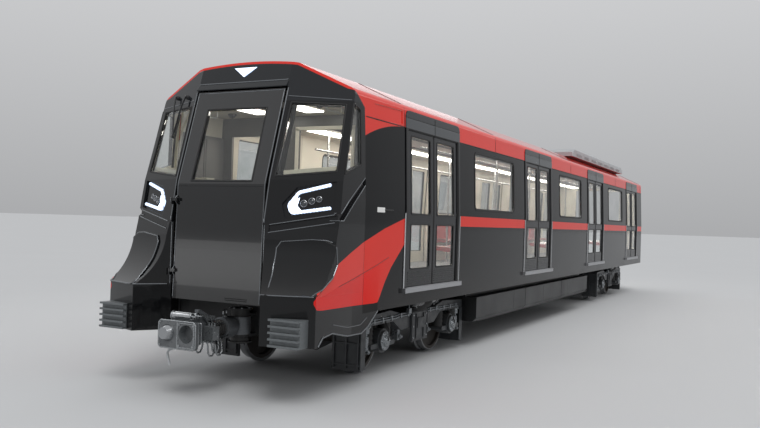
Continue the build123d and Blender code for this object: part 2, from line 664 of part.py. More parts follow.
with BuildPart() as front_mask:
    add(nose_faces.part)
    # hollow behind the faces
    for side in (LEFT, RIGHT):
        add(half_wing(side, MASK_T), mode=Mode.SUBTRACT)
    add(middle_form(MASK_T), mode=Mode.SUBTRACT)
    # the doorway, and open space behind its frame
    with BuildSketch(Plane.XY.offset(SKIRT_Z - 100)):
        with Locations((NOSE_X, 0)):
            Rectangle(2 * NOSE_REACH, 2 * JAMB_Y)
    extrude(amount=DOOR_HEAD_Z + HEAD_GAP - SKIRT_Z + 100, mode=Mode.SUBTRACT)
    with BuildSketch(Plane.XZ):
        add(door_outline(JAMB_DEPTH))
    extrude(amount=JAMB_Y + MASK_T + 1, both=True, mode=Mode.SUBTRACT)
    # the roof panel's share, and all below the chin
    add(roof.part, mode=Mode.SUBTRACT)
    with BuildSketch(Plane.XY):
        Rectangle(3 * CHIN_X, 2 * ACROSS)
    extrude(amount=CHIN_Z, mode=Mode.SUBTRACT)
    for side in (LEFT, RIGHT):
        glass_plane = wing_face_plane(side, KNEE_Z, KNEE_Z + GLASS_PLANE_H)
        with BuildSketch(glass_plane):
            add(windscreen_outline(side, glass_plane))
        extrude(amount=2 * MASK_T, both=True, mode=Mode.SUBTRACT)
        with BuildSketch(Plane.XZ.offset(-side * (HALF_W - QUARTER_CUT / 2))):
            add(polygon(QUARTER_WINDOW))
        extrude(amount=-side * QUARTER_CUT, mode=Mode.SUBTRACT)
        # pocket of the headlamp, and the belt channel under it and along the side
        lamp_plane = wing_face_plane(side, BELT_Z, KNEE_Z)
        with BuildSketch(lamp_plane.offset(-POCKET_DEPTH)) as pocket:
            add(polygon(on_plane(lamp_plane, [wing_point(side, y, z) for y, z in LAMP_POCKET])))
            fillet(pocket.vertices(), POCKET_R)
        extrude(amount=4 * POCKET_DEPTH, mode=Mode.SUBTRACT)
        with BuildSketch(lamp_plane.offset(-BELT_FRONT_DEPTH)):
            add(polygon(on_plane(lamp_plane, [wing_point(side, y, z) for y, z in BELT_FRONT])))
        extrude(amount=4 * BELT_FRONT_DEPTH, mode=Mode.SUBTRACT)
        with BuildSketch(Plane.XZ.offset(-side * (HALF_W - BELT_SIDE_DEPTH))):
            add(polygon(BELT_SIDE))
        extrude(amount=-side * 4 * BELT_SIDE_DEPTH, mode=Mode.SUBTRACT)
        add(cheek_panel(side))
    # visor over the door
    with BuildSketch(Plane.XZ):
        add(polygon([(door_face_x(VISOR_Z1) - MASK_T / 2, VISOR_Z1), (door_face_x(VISOR_Z1), VISOR_Z1),
                     (door_face_x(VISOR_Z0) + VISOR_PROUD, VISOR_Z0 + 10),
                     (door_face_x(VISOR_Z0) + VISOR_PROUD, VISOR_Z0),
                     (door_face_x(VISOR_Z0) - MASK_T / 2, VISOR_Z0)]))
    extrude(amount=JAMB_Y, both=True)
front_mask.part.label = "front_mask"
export_step(front_mask.part, "parts/front_mask.step")

with BuildPart() as windscreens:
    for side in (LEFT, RIGHT):
        glass_plane = wing_face_plane(side, KNEE_Z, KNEE_Z + GLASS_PLANE_H)
        with BuildSketch(glass_plane.offset(-GLASS_BACK)):
            add(windscreen_outline(side, glass_plane))
        extrude(amount=-GLASS_T)
windscreens.part.label = "windscreens"
export_step(windscreens.part, "parts/windscreens.step")

with BuildPart() as quarter_glass:
    with BuildSketch(Plane.YZ.offset(SEAM_X)):
        add(wall_band(-GLASS_BACK, GLASS_BACK + GLASS_T, FLOOR_Z, EAVES_Z))
    extrude(amount=NOSE_REACH)
    mirror(about=Plane.XZ)
    with BuildSketch(Plane.XZ):
        add(polygon(QUARTER_WINDOW))
    extrude(amount=ACROSS, both=True, mode=Mode.INTERSECT)
quarter_glass.part.label = "quarter_glass"
export_step(quarter_glass.part, "parts/quarter_glass.step")


# Skirts under the chin, and the ribbed anti-climbers that stand out of them

with BuildPart() as front_skirts:
    for side in (LEFT, RIGHT):
        add(half_wing(side, 0))
    for side in (LEFT, RIGHT):
        add(half_wing(side, SKIRT_T), mode=Mode.SUBTRACT)
    # their share under the side walls' ends
    with BuildSketch(Plane.YZ.offset(SKIRT_EDGE[0][0])):
        for side in (LEFT, RIGHT):
            with Locations((side * (HALF_W - SKIRT_T / 2), (SKIRT_Z + SILL_Z) / 2)):
                Rectangle(SKIRT_T, SILL_Z - SKIRT_Z)
    extrude(amount=SEAM_X + SKIRT_T - SKIRT_EDGE[0][0])
    with BuildSketch(Plane.XZ):
        add(polygon([*SKIRT_EDGE, (CHIN_X + 100, SKIRT_Z), (CHIN_X + 100, CHIN_Z),
                     (SKIRT_EDGE[0][0], CHIN_Z)]))
    extrude(amount=ACROSS, both=True, mode=Mode.INTERSECT)
    # open behind: only the front wall and the side wall stay
    with BuildSketch(Plane.XY):
        Rectangle(2 * SKIRT_OPEN_X, 2 * SKIRT_INNER_Y)
    extrude(amount=CHIN_Z, mode=Mode.SUBTRACT)
front_skirts.part.label = "front_skirts"
export_step(front_skirts.part, "parts/front_skirts.step")

with BuildPart() as anti_climbers:
    for side in (LEFT, RIGHT):
        box((ANTICLIMB_BACK_X, ANTICLIMB_X - RIB_D),
            (side * ANTICLIMB_Y0, side * ANTICLIMB_Y1), (ANTICLIMB_Z0, ANTICLIMB_Z1))
        for index in range(RIB_COUNT):
            low = ANTICLIMB_Z0 + index * (ANTICLIMB_Z1 - ANTICLIMB_Z0 - RIB_T) / (RIB_COUNT - 1)
            box((ANTICLIMB_X - RIB_D, ANTICLIMB_X),
                (side * ANTICLIMB_Y0, side * ANTICLIMB_Y1), (low, low + RIB_T))
    add(nose_faces.part, mode=Mode.SUBTRACT)
anti_climbers.part.label = "anti_climbers"
export_step(anti_climbers.part, "parts/anti_climbers.step")


# Front door, its glass and its hinge

with BuildPart() as front_door:
    with BuildSketch(Plane.XZ):
        add(door_outline())
        add(door_outline(DOOR_T), mode=Mode.SUBTRACT)
    extrude(amount=DOOR_HALF, both=True)
    with BuildSketch(Plane.YZ.offset(NOSE_X)):
        with Locations((0, (DOOR_FOOT_Z + DOOR_HEAD_Z) / 2)):
            Rectangle(2 * DOOR_HALF, DOOR_HEAD_Z - DOOR_FOOT_Z)
    extrude(amount=1000, both=True, mode=Mode.INTERSECT)
    with BuildSketch(Plane.YZ.offset(NOSE_X)):
        add(polygon(DOOR_PANE))
    extrude(amount=1000, both=True, mode=Mode.SUBTRACT)
    for z in HINGE_ZS:
        low = z + KNUCKLE_L + SEAT_GAP
        with BuildSketch(Plane.XY.offset(low)) as knuckle:
            with Locations((HINGE_X, HINGE_Y)):
                Circle(HINGE_R)
            with BuildLine():
                Polyline((HINGE_X - HINGE_R, HINGE_Y), (HINGE_X, HINGE_Y + HINGE_R),
                         (HINGE_X - 20, HINGE_Y + HINGE_ARM), (door_face_x(z) - 20, HINGE_Y + HINGE_ARM),
                         (door_face_x(z) - 20, -DOOR_HALF), (HINGE_X - HINGE_R, HINGE_Y))
            make_face()
            with Locations((HINGE_X, HINGE_Y)):
                Circle(HINGE_PIN_R + SEAT_GAP, mode=Mode.SUBTRACT)
        extrude(amount=KNUCKLE_L)
front_door.part.label = "front_door"
export_step(front_door.part, "parts/front_door.step")

with BuildPart() as front_door_glass:
    with BuildSketch(Plane.XZ):
        add(door_outline(GLASS_BACK))
        add(door_outline(GLASS_BACK + GLASS_T), mode=Mode.SUBTRACT)
    extrude(amount=DOOR_HALF, both=True)
    with BuildSketch(Plane.YZ.offset(NOSE_X)):
        add(polygon(DOOR_PANE))
    extrude(amount=1000, both=True, mode=Mode.INTERSECT)
front_door_glass.part.label = "front_door_glass"
export_step(front_door_glass.part, "parts/front_door_glass.step")

with BuildPart() as front_hinge_pins:
    for z in HINGE_ZS:
        with BuildSketch(Plane.XY.offset(z)):
            with Locations((HINGE_X, HINGE_Y)):
                Circle(HINGE_R)
            with Locations((HINGE_X - 60, HINGE_Y - HINGE_R + 4)):
                Rectangle(120, 2 * HINGE_R - 8)
        extrude(amount=KNUCKLE_L)
        with BuildSketch(Plane.XY.offset(z + KNUCKLE_L)):
            with Locations((HINGE_X, HINGE_Y)):
                Circle(HINGE_PIN_R)
        extrude(amount=KNUCKLE_L)
    add(front_mask.part, mode=Mode.SUBTRACT)
    add(front_door.part, mode=Mode.SUBTRACT)
front_hinge_pins.part.label = "front_hinge_pins"
export_step(front_hinge_pins.part, "parts/front_hinge_pins.step")


# Lamps

with BuildPart() as headlamps:
    for side in (LEFT, RIGHT):
        lamp_plane = wing_face_plane(side, BELT_Z, KNEE_Z)
        route = on_plane(lamp_plane, [wing_point(side, y, z) for y, z in LAMP_STRIP])
        with BuildSketch(lamp_plane.offset(-POCKET_DEPTH)):
            with BuildLine():
                FilletPolyline(*route, radius=LAMP_BEND_R)
                offset(amount=LAMP_W / 2)
            make_face()
        extrude(amount=LAMP_T)
headlamps.part.label = "headlamps"
export_step(headlamps.part, "parts/headlamps.step")

with BuildPart() as marker_lamp:
    with BuildSketch(Plane.YZ.offset(NOSE_X)):
        add(polygon(MARKER))
    extrude(amount=1000, both=True)
    with BuildSketch(Plane.XZ):
        add(door_outline(-LAMP_PROUD))
        add(door_outline(), mode=Mode.SUBTRACT)
    extrude(amount=1000, both=True, mode=Mode.INTERSECT)
marker_lamp.part.label = "marker_lamp"
export_step(marker_lamp.part, "parts/marker_lamp.step")


# Floor, kingpins and jacking pads

with BuildPart() as floor:
    box((REAR_X, FLOOR_FRONT_X), (-LINING_Y, LINING_Y), (FLOOR_Z - FLOOR_T, FLOOR_Z))
    # the nose end follows the inside of the mask
    with BuildSketch(Plane.XY.offset(FLOOR_Z - FLOOR_T)):
        back_x = FLOOR_FRONT_X - (LINING_Y - JAMB_Y) * tan(radians(YAW + 15))
        for side in (LEFT, RIGHT):
            add(polygon([(FLOOR_FRONT_X + 1, side * JAMB_Y), (FLOOR_FRONT_X + 1, side * HALF_W),
                         (back_x, side * HALF_W), (back_x, side * LINING_Y),
                         (FLOOR_FRONT_X, side * JAMB_Y)]))
    extrude(amount=FLOOR_T, mode=Mode.SUBTRACT)
floor.part.label = "floor"
export_step(floor.part, "parts/floor.step")

with BuildPart() as kingpins:
    for x in BOGIE_XS.values():
        with BuildSketch(Plane.XY.offset(KINGPIN_Z)):
            with Locations((x, 0)):
                Circle(KINGPIN_R)
        extrude(amount=FLOOR_Z - FLOOR_T - KINGPIN_Z)
kingpins.part.label = "kingpins"
export_step(kingpins.part, "parts/kingpins.step")

with BuildPart() as jacking_pads:
    for x in JACK_XS:
        for side in (LEFT, RIGHT):
            box((x - JACK_L / 2, x + JACK_L / 2), (side * (LINING_Y - JACK_W), side * LINING_Y),
                (SILL_Z, FLOOR_Z - FLOOR_T))
jacking_pads.part.label = "jacking_pads"
export_step(jacking_pads.part, "parts/jacking_pads.step")


# Bogies: one frame, its springs, axle boxes, motors and brakes for each

def across(x, z):
    """Plane for shapes that turn about a cross axis: x runs left, y runs up."""
    return Plane(origin=(x, 0, z), x_dir=(0, 1, 0), z_dir=(1, 0, 0))


def revolve_across(x, z):
    """Turns the drawn half section about the cross axis at x and z."""
    revolve(axis=Axis((x, 0, z), (0, 1, 0)))


for end, centre in BOGIE_XS.items():
    with BuildPart() as bogie_frame:
        with BuildSketch(Plane.XZ):
            with Locations((centre, 0)):
                add(polygon(BEAM_HALF))
                add(polygon([(-x, z) for x, z in BEAM_HALF]))
        extrude(amount=BEAM_Y + BEAM_W / 2, both=True)
        with BuildSketch(Plane.XY):
            with Locations((centre, 0)):
                Rectangle(4000, 2 * BEAM_Y - BEAM_W)
        extrude(amount=1000, mode=Mode.SUBTRACT)
        # transom between the side beams, with the kingpin's socket
        with BuildSketch(Plane.XY.offset(TRANSOM_Z0)):
            with Locations((centre, 0)):
                Rectangle(2 * TRANSOM_X, 2 * BEAM_Y)
                Circle(KINGPIN_R + SEAT_GAP, mode=Mode.SUBTRACT)
        extrude(amount=TRANSOM_Z1 - TRANSOM_Z0)
        for hand in (-1, 1):
            # brackets that hold the motors
            box((centre + hand * TRANSOM_X, centre + hand * (MOTOR_X - MOTOR_R * 0.6)),
                (-MOTOR_Y1 + 40, -MOTOR_Y1 + 240), (TRANSOM_Z0, TRANSOM_Z0 + 60))
            box((centre + hand * TRANSOM_X, centre + hand * (MOTOR_X - MOTOR_R * 0.6)),
                (MOTOR_Y1 - 240, MOTOR_Y1 - 40), (TRANSOM_Z0, TRANSOM_Z0 + 60))
            for side in (LEFT, RIGHT):
                # guard plate in front of each wheel
                box((centre + hand * (BEAM_END - GUARD_T / 2), centre + hand * (BEAM_END + GUARD_T / 2)),
                    (side * GUARD_Y0, side * (BEAM_Y + BEAM_W / 2)), (GUARD_Z, BEAM_TOP_Z))
        for side in (LEFT, RIGHT):
            box((centre - SIDE_PLATE_X, centre + SIDE_PLATE_X),
                (side * (BEAM_Y + BEAM_W / 2), side * (BEAM_Y + BEAM_W / 2 + 25)),
                (SIDE_PLATE_Z0, SIDE_PLATE_Z1))
    bogie_frame.part.label = f"bogie_frame_{end}"
    export_step(bogie_frame.part, f"parts/bogie_frame_{end}.step")

    with BuildPart() as bogie_springs:
        for side in (LEFT, RIGHT):
            # air spring: base, bulging bellows and top plate
            with BuildSketch(Plane(origin=(centre, side * BEAM_Y, 0), x_dir=(1, 0, 0),
                                   z_dir=(0, -1, 0))):
                with BuildLine():
                    low, high = AIR_SPRING_Z0, FLOOR_Z - FLOOR_T - SEAT_GAP
                    Polyline((0, high), (0, low), (AIR_SPRING_R - 90, low),
                             (AIR_SPRING_R - 60, low + 40))
                    ThreePointArc((AIR_SPRING_R - 60, low + 40),
                                  (AIR_SPRING_R, (low + high) / 2 + 10), (AIR_SPRING_R - 60, high - 20))
                    Polyline((AIR_SPRING_R - 60, high - 20), (AIR_SPRING_R - 60, high), (0, high))
                make_face()
            revolve(axis=Axis((centre, side * BEAM_Y, 0), (0, 0, 1)))
            # primary springs: a stack of rubber cones on each wing of each axle box
            for hand in (-1, 1):
                for offset_x in (-SPRING_OUT, SPRING_OUT):
                    x = centre + hand * AXLE_X + offset_x
                    for index in range(SPRING_RINGS):
                        step = (BEAM_LOW_Z - SPRING_Z0) / SPRING_RINGS
                        with BuildSketch(Plane.XY.offset(SPRING_Z0 + index * step)):
                            with Locations((x, side * BEAM_Y)):
                                Circle(SPRING_R)
                        extrude(amount=step, taper=12)
    bogie_springs.part.label = f"bogie_springs_{end}"
    export_step(bogie_springs.part, f"parts/bogie_springs_{end}.step")

    with BuildPart() as axle_boxes:
        for side in (LEFT, RIGHT):
            for hand in (-1, 1):
                x = centre + hand * AXLE_X
                with BuildSketch(Plane.XZ.offset(-side * BOX_Y0)):
                    with Locations((x, AXLE_Z)):
                        Circle(BOX_R)
                    with Locations((x, (SPRING_Z0 + BOX_WING_Z) / 2)):
                        SlotOverall(2 * (SPRING_OUT + SPRING_R), SPRING_Z0 - BOX_WING_Z)
                    with Locations((x, AXLE_Z)):
                        Circle(JOURNAL_R + SEAT_GAP, mode=Mode.SUBTRACT)
                extrude(amount=-side * (BOX_Y1 - BOX_Y0))
                # end cover
                with BuildSketch(Plane.XZ.offset(-side * BOX_Y1)):
                    with Locations((x, AXLE_Z)):
                        Circle(BOX_R - 25)
                extrude(amount=-side * 30)
    axle_boxes.part.label = f"axle_boxes_{end}"
    export_step(axle_boxes.part, f"parts/axle_boxes_{end}.step")

    with BuildPart() as motors:
        for hand in (-1, 1):
            motor_x = centre + hand * MOTOR_X
            axle_x = centre + hand * AXLE_X
            with BuildSketch(Plane.XZ.offset(hand * MOTOR_Y1)):
                with Locations((motor_x, AXLE_Z)):
                    RegularPolygon(MOTOR_R, 8, rotation=22.5)
            extrude(amount=-hand * (MOTOR_Y1 + MOTOR_Y0))
            # gearbox between the motor and the axle
            with BuildSketch(Plane.XZ.offset(-hand * MOTOR_Y0)):
                with BuildLine():
                    Polyline((motor_x, AXLE_Z - GEAR_SMALL_R), (axle_x, AXLE_Z - GEAR_BIG_R),
                             (axle_x, AXLE_Z + GEAR_BIG_R), (motor_x, AXLE_Z + GEAR_SMALL_R),
                             (motor_x, AXLE_Z - GEAR_SMALL_R))
                make_face()
                with Locations((motor_x, AXLE_Z)):
                    Circle(GEAR_SMALL_R)
                with Locations((axle_x, AXLE_Z)):
                    Circle(GEAR_BIG_R)
                    Circle(AXLE_R + SEAT_GAP, mode=Mode.SUBTRACT)
            extrude(amount=-hand * GEAR_W)
        add(bogie_frame.part, mode=Mode.SUBTRACT)
    motors.part.label = f"motors_{end}"
    export_step(motors.part, f"parts/motors_{end}.step")

    with BuildPart() as brakes:
        for side in (LEFT, RIGHT):
            for hand in (-1, 1):
                wheel_x = centre + hand * AXLE_X
                # cylinder housing on the side beam, then the block that faces the tread
                with BuildSketch(Plane.XZ.offset(-side * BRAKE_Y0)):
                    with BuildLine():
                        back_x = centre + hand * BRAKE_X0
                        nose_x = centre + hand * BRAKE_X1
                        Polyline((back_x, BRAKE_BACK_ZS[0]), (nose_x, BRAKE_NOSE_ZS[0]),
                                 (nose_x, BRAKE_NOSE_ZS[1]), (back_x, BRAKE_BACK_ZS[1]),
                                 (back_x, BRAKE_BACK_ZS[0]))
                    make_face()
                extrude(amount=-side * (BEAM_Y - BEAM_W / 2 - BRAKE_Y0))
                with BuildSketch(Plane.XZ.offset(-side * (BRAKE_Y0 + 10))):
                    with Locations((wheel_x - hand * TREAD_R, AXLE_Z)):
                        Rectangle(BLOCK_T, BLOCK_H)
                    with Locations((wheel_x, AXLE_Z)):
                        Circle(FLANGE_R + BLOCK_GAP, mode=Mode.SUBTRACT)
                extrude(amount=-side * BLOCK_W)
    brakes.part.label = f"brakes_{end}"
    export_step(brakes.part, f"parts/brakes_{end}.step")

    for hand, name in ((1, f"wheelset_{end}_leading"), (-1, f"wheelset_{end}_trailing")):
        x = centre + hand * AXLE_X
        with BuildPart() as wheelset:
            with BuildSketch(across(x, AXLE_Z)):
                with BuildLine():
                    half = list(WHEEL_SECTION)
                    other = [(-y, r) for y, r in reversed(half)]
                    Polyline(*other, *half, other[0])
                make_face()
            revolve_across(x, AXLE_Z)
        wheelset.part.label = name
        export_step(wheelset.part, f"parts/{name}.step")


# Couplers

with BuildPart() as coupler:
    # ring about the pivot, then the shank
    with BuildSketch(Plane.XY.offset(COUPLER_Z - EYE_H / 2)):
        with Locations((COUPLER_PIVOT_X, 0)):
            Circle(EYE_R)
            Circle(COUPLER_PIN_R + SEAT_GAP, mode=Mode.SUBTRACT)
    extrude(amount=EYE_H)
    with BuildSketch(Plane.YZ.offset(COUPLER_PIVOT_X + EYE_R - 12)):
        with Locations((0, COUPLER_Z)):
            Circle(SHANK_R)
    extrude(amount=HEAD_BACK_X - COUPLER_PIVOT_X - EYE_R + 12 + 20)
    # flared collar of the draft gear
    with BuildSketch(Plane.YZ.offset(COUPLER_PIVOT_X + EYE_R + 60)):
        with Locations((0, COUPLER_Z)):
            Circle(SHANK_R + 45)
    extrude(amount=180)
    # web that stands on the shank behind the head
    with BuildSketch(Plane.XZ):
        add(polygon([(HEAD_BACK_X + WEB_FRONT, COUPLER_Z), (HEAD_BACK_X + WEB_FRONT, COUPLER_Z + WEB_H),
                     (HEAD_BACK_X + WEB_FRONT - 40, COUPLER_Z + WEB_H),
                     (HEAD_BACK_X - WEB_L, COUPLER_Z + SHANK_R),
                     (HEAD_BACK_X - WEB_L, COUPLER_Z)]))
    extrude(amount=WEB_T / 2, both=True)
coupler.part.label = "coupler_shank"
export_step(coupler.part, "parts/coupler_shank.step")

with BuildPart() as coupler_head:
    # body of the head, tapering back to the shank
    with BuildSketch(Plane.YZ.offset(COUPLER_FACE_X - HEAD_PLATE_T)):
        with Locations((0, COUPLER_Z)):
            Rectangle(2 * HEAD_HALF - 60, HEAD_H - 40)
    with BuildSketch(Plane.YZ.offset(HEAD_BACK_X)):
        with Locations((0, COUPLER_Z)):
            Rectangle(2 * SHANK_R + 40, 2 * SHANK_R + 40)
    loft()
    with BuildSketch(Plane.YZ.offset(COUPLER_FACE_X - HEAD_PLATE_T)):
        with Locations((0, COUPLER_Z)):
            RectangleRounded(2 * HEAD_HALF, HEAD_H, 25)
    extrude(amount=HEAD_PLATE_T)
    # cone on the right of the car, pocket on its left
    with BuildSketch(Plane.YZ.offset(COUPLER_FACE_X)):
        with Locations((-HEAD_HALF / 2, COUPLER_Z + 15)):
            Circle(CONE_R)
    extrude(amount=CONE_L, taper=22)
    with BuildSketch(Plane.YZ.offset(COUPLER_FACE_X)):
        with Locations((HEAD_HALF / 2, COUPLER_Z + 15)):
            Circle(CONE_R + 4)
    extrude(amount=-CONE_L - 6, taper=18, mode=Mode.SUBTRACT)
    # two air cylinders lie across the top
    for x, length in ((HEAD_BACK_X + 60, 330), (HEAD_BACK_X + 140, 270)):
        with BuildSketch(Plane.XZ.offset(length - 60)):
            with Locations((x, COUPLER_Z + HEAD_H / 2 + CYLINDER_R - 8)):
                Circle(CYLINDER_R)
        extrude(amount=-length)
    box((HEAD_BACK_X + 20, HEAD_BACK_X + 180), (-200, 60),
        (COUPLER_Z + SHANK_R, COUPLER_Z + HEAD_H / 2))
    add(coupler.part, mode=Mode.SUBTRACT)
coupler_head.part.label = "coupler_head"
export_step(coupler_head.part, "parts/coupler_head.step")

with BuildPart() as drawbar:
    with BuildSketch(Plane.XY.offset(COUPLER_Z - EYE_H / 2)):
        with Locations((REAR_PIVOT_X, 0)):
            Circle(EYE_R)
            Circle(COUPLER_PIN_R + SEAT_GAP, mode=Mode.SUBTRACT)
    extrude(amount=EYE_H)
    with BuildSketch(Plane.YZ.offset(REAR_PIVOT_X - EYE_R + 12)):
        with Locations((0, COUPLER_Z)):
            Circle(SHANK_R)
    extrude(amount=REAR_END_X - REAR_PIVOT_X + EYE_R - 12)
    with BuildSketch(Plane.YZ.offset(REAR_END_X)):
        with Locations((0, COUPLER_Z)):
            Circle(FLANGE_PLATE_R)
            with PolarLocations(BOLT_CIRCLE_R, BOLT_COUNT, start_angle=45):
                Circle(BOLT_HOLE_R, mode=Mode.SUBTRACT)
    extrude(amount=FLANGE_PLATE_T)
drawbar.part.label = "rear_drawbar"
export_step(drawbar.part, "parts/rear_drawbar.step")

with BuildPart() as coupler_brackets:
    for pivot_x, way in ((COUPLER_PIVOT_X, 1), (REAR_PIVOT_X, -1)):
        back = pivot_x - way * HEADSTOCK_GAP
        # headstock across the car under the floor
        box((back, back - way * HEADSTOCK_T), (-HEADSTOCK_Y, HEADSTOCK_Y),
            (HEADSTOCK_Z, FLOOR_Z - FLOOR_T))
        for low in (COUPLER_Z - EYE_H / 2 - SEAT_GAP - LUG_T, COUPLER_Z + EYE_H / 2 + SEAT_GAP):
            with BuildSketch(Plane.XY.offset(low)):
                with Locations((pivot_x, 0)):
                    Circle(EYE_R - 15)
                with Locations(((pivot_x + back) / 2, 0)):
                    Rectangle(abs(pivot_x - back), 2 * EYE_R - 30)
            extrude(amount=LUG_T)
        with BuildSketch(Plane.XY.offset(COUPLER_Z - EYE_H / 2 - LUG_T - 25)):
            with Locations((pivot_x, 0)):
                Circle(COUPLER_PIN_R)
        extrude(amount=EYE_H + 2 * LUG_T + 50)
        # drums of the pivot's bearings above and below the lugs
        for face, way_up in ((COUPLER_Z + EYE_H / 2 + LUG_T, 1), (COUPLER_Z - EYE_H / 2 - LUG_T, -1)):
            with BuildSketch(Plane.XY.offset(face)):
                with Locations((pivot_x, 0)):
                    Circle(DRUM_R)
            extrude(amount=way_up * DRUM_H)
            with BuildSketch(Plane.XY.offset(face + way_up * (DRUM_H - DRUM_RIM_H))):
                with Locations((pivot_x, 0)):
                    Circle(DRUM_RIM_R)
            extrude(amount=way_up * DRUM_RIM_H)
coupler_brackets.part.label = "coupler_brackets"
export_step(coupler_brackets.part, "parts/coupler_brackets.step")


# Roof unit, gangway, underfloor cases

with BuildPart() as roof_unit:
    with BuildSketch(Plane.XZ):
        add(polygon([(UNIT_X0, SHOULDER_Z), (UNIT_X0, UNIT_EDGE_Z), (UNIT_X0 + UNIT_SLOPE, UNIT_Z),
                     (UNIT_X1 - UNIT_SLOPE, UNIT_Z), (UNIT_X1, UNIT_EDGE_Z), (UNIT_X1, SHOULDER_Z)]))
    extrude(amount=UNIT_HALF, both=True)
    chamfer(roof_unit.edges().filter_by(Axis.X).group_by(Axis.Z)[-1], UNIT_CHAMFER)
    with BuildSketch(Plane.YZ.offset(REAR_X)):
        add(body_outline())
    extrude(amount=SEAM_X - REAR_X, mode=Mode.SUBTRACT)
roof_unit.part.label = "roof_unit"
export_step(roof_unit.part, "parts/roof_unit.step")

with BuildPart() as gangway_bellows:
    pitch = (REAR_X - GANGWAY_X - GANGWAY_FRAME_T) / BELLOWS_FOLDS
    for index in range(BELLOWS_FOLDS):
        start = GANGWAY_X + GANGWAY_FRAME_T + index * pitch
        for offset_x, width, depth in ((0, pitch / 2, 0), (pitch / 2, pitch / 2, BELLOWS_DEPTH)):
            with BuildSketch(Plane.YZ.offset(start + offset_x)):
                with Locations((0, (BELLOWS_Z0 + BELLOWS_Z1) / 2)):
                    RectangleRounded(2 * (BELLOWS_HALF - depth), BELLOWS_Z1 - BELLOWS_Z0 - 2 * depth, 120)
                    RectangleRounded(2 * (BELLOWS_HALF - BELLOWS_T), BELLOWS_Z1 - BELLOWS_Z0 - 2 * BELLOWS_T,
                                     60, mode=Mode.SUBTRACT)
            extrude(amount=width)
gangway_bellows.part.label = "gangway_bellows"
export_step(gangway_bellows.part, "parts/gangway_bellows.step")

with BuildPart() as gangway_frame:
    with BuildSketch(Plane.YZ.offset(GANGWAY_X)):
        with Locations((0, (BELLOWS_Z0 + BELLOWS_Z1) / 2)):
            RectangleRounded(2 * BELLOWS_HALF, BELLOWS_Z1 - BELLOWS_Z0, 120)
            RectangleRounded(2 * (BELLOWS_HALF - BELLOWS_T), BELLOWS_Z1 - BELLOWS_Z0 - 2 * BELLOWS_T,
                             60, mode=Mode.SUBTRACT)
    extrude(amount=GANGWAY_FRAME_T)
    # bridge plate, level with the floor
    box((GANGWAY_X, REAR_X), (-BRIDGE_HALF, BRIDGE_HALF), (BELLOWS_Z0 + BELLOWS_T, FLOOR_Z))
gangway_frame.part.label = "gangway_frame"
export_step(gangway_frame.part, "parts/gangway_frame.step")

with BuildPart() as equipment_cases:
    for side in (LEFT, RIGHT):
        for x0, x1 in CASE_XS:
            with BuildSketch(Plane.YZ.offset(x0)):
                add(polygon([(side * CASE_Y0, CASE_Z0), (side * (CASE_Y1 - 60), CASE_Z0),
                             (side * CASE_Y1, CASE_Z0 + 60), (side * CASE_Y1, CASE_Z1),
                             (side * CASE_Y0, CASE_Z1)]))
            extrude(amount=x1 - x0)
        for y in CASE_RAIL_YS:
            box((CASE_XS[0][0], CASE_XS[-1][1]), (side * y, side * (y + 60)), (CASE_Z1, FLOOR_Z - FLOOR_T))
equipment_cases.part.label = "equipment_cases"
export_step(equipment_cases.part, "parts/equipment_cases.step")


# Inside

with BuildPart() as saloon_ceiling:
    with BuildSketch(Plane.YZ.offset(REAR_X + WALL_T)):
        add(body_outline(WALL_T))
        with Locations((0, CEILING_Z / 2)):
            Rectangle(4000, CEILING_Z, mode=Mode.SUBTRACT)
        with Locations((0, CEILING_Z + CEILING_T + 500)):
            Rectangle(4000, 1000, mode=Mode.SUBTRACT)
    extrude(amount=PARTITION_X - REAR_X - WALL_T)
    add(portal_frames.part, mode=Mode.SUBTRACT)
with BuildPart() as cab_ceiling:
    with BuildSketch(Plane.YZ.offset(PARTITION_X + PARTITION_T)):
        add(body_outline(WALL_T))
    extrude(amount=SEAM_X - PARTITION_X - PARTITION_T)
    for side in (LEFT, RIGHT):
        add(half_wing(side, MASK_T + 2))
    add(middle_form(MASK_T + 2))
    with BuildSketch(Plane.XY.offset(CAB_CEILING_Z)):
        Rectangle(3 * CHIN_X, 2 * ACROSS)
    extrude(amount=CEILING_T, mode=Mode.INTERSECT)
    add(front_mask.part, mode=Mode.SUBTRACT)
with BuildPart() as ceiling:
    add(saloon_ceiling.part)
    add(cab_ceiling.part)
ceiling.part.label = "ceiling"
export_step(ceiling.part, "parts/ceiling.step")

with BuildPart() as ceiling_lights:
    for side in (LEFT, RIGHT):
        box((REAR_X + WALL_T + 150, PARTITION_X - 150), (side * LIGHT_Y0, side * LIGHT_Y1),
            (CEILING_Z - LIGHT_T, CEILING_Z))
ceiling_lights.part.label = "ceiling_lights"
export_step(ceiling_lights.part, "parts/ceiling_lights.step")

with BuildPart() as cab_partition:
    with BuildSketch(Plane.YZ.offset(PARTITION_X)):
        add(body_outline(WALL_T))
        with Locations((0, FLOOR_Z / 2)):
            Rectangle(4000, FLOOR_Z, mode=Mode.SUBTRACT)
        add(polygon([(PARTITION_DOOR_Y0, FLOOR_Z - 1), (PARTITION_DOOR_Y1, FLOOR_Z - 1),
                     (PARTITION_DOOR_Y1, PARTITION_DOOR_Z), (PARTITION_DOOR_Y0, PARTITION_DOOR_Z)]),
            mode=Mode.SUBTRACT)
        (y0, y1), (z0, z1) = PARTITION_WINDOW
        add(polygon([(y0, z0), (y1, z0), (y1, z1), (y0, z1)]), mode=Mode.SUBTRACT)
    extrude(amount=PARTITION_T)
cab_partition.part.label = "cab_partition"
export_step(cab_partition.part, "parts/cab_partition.step")

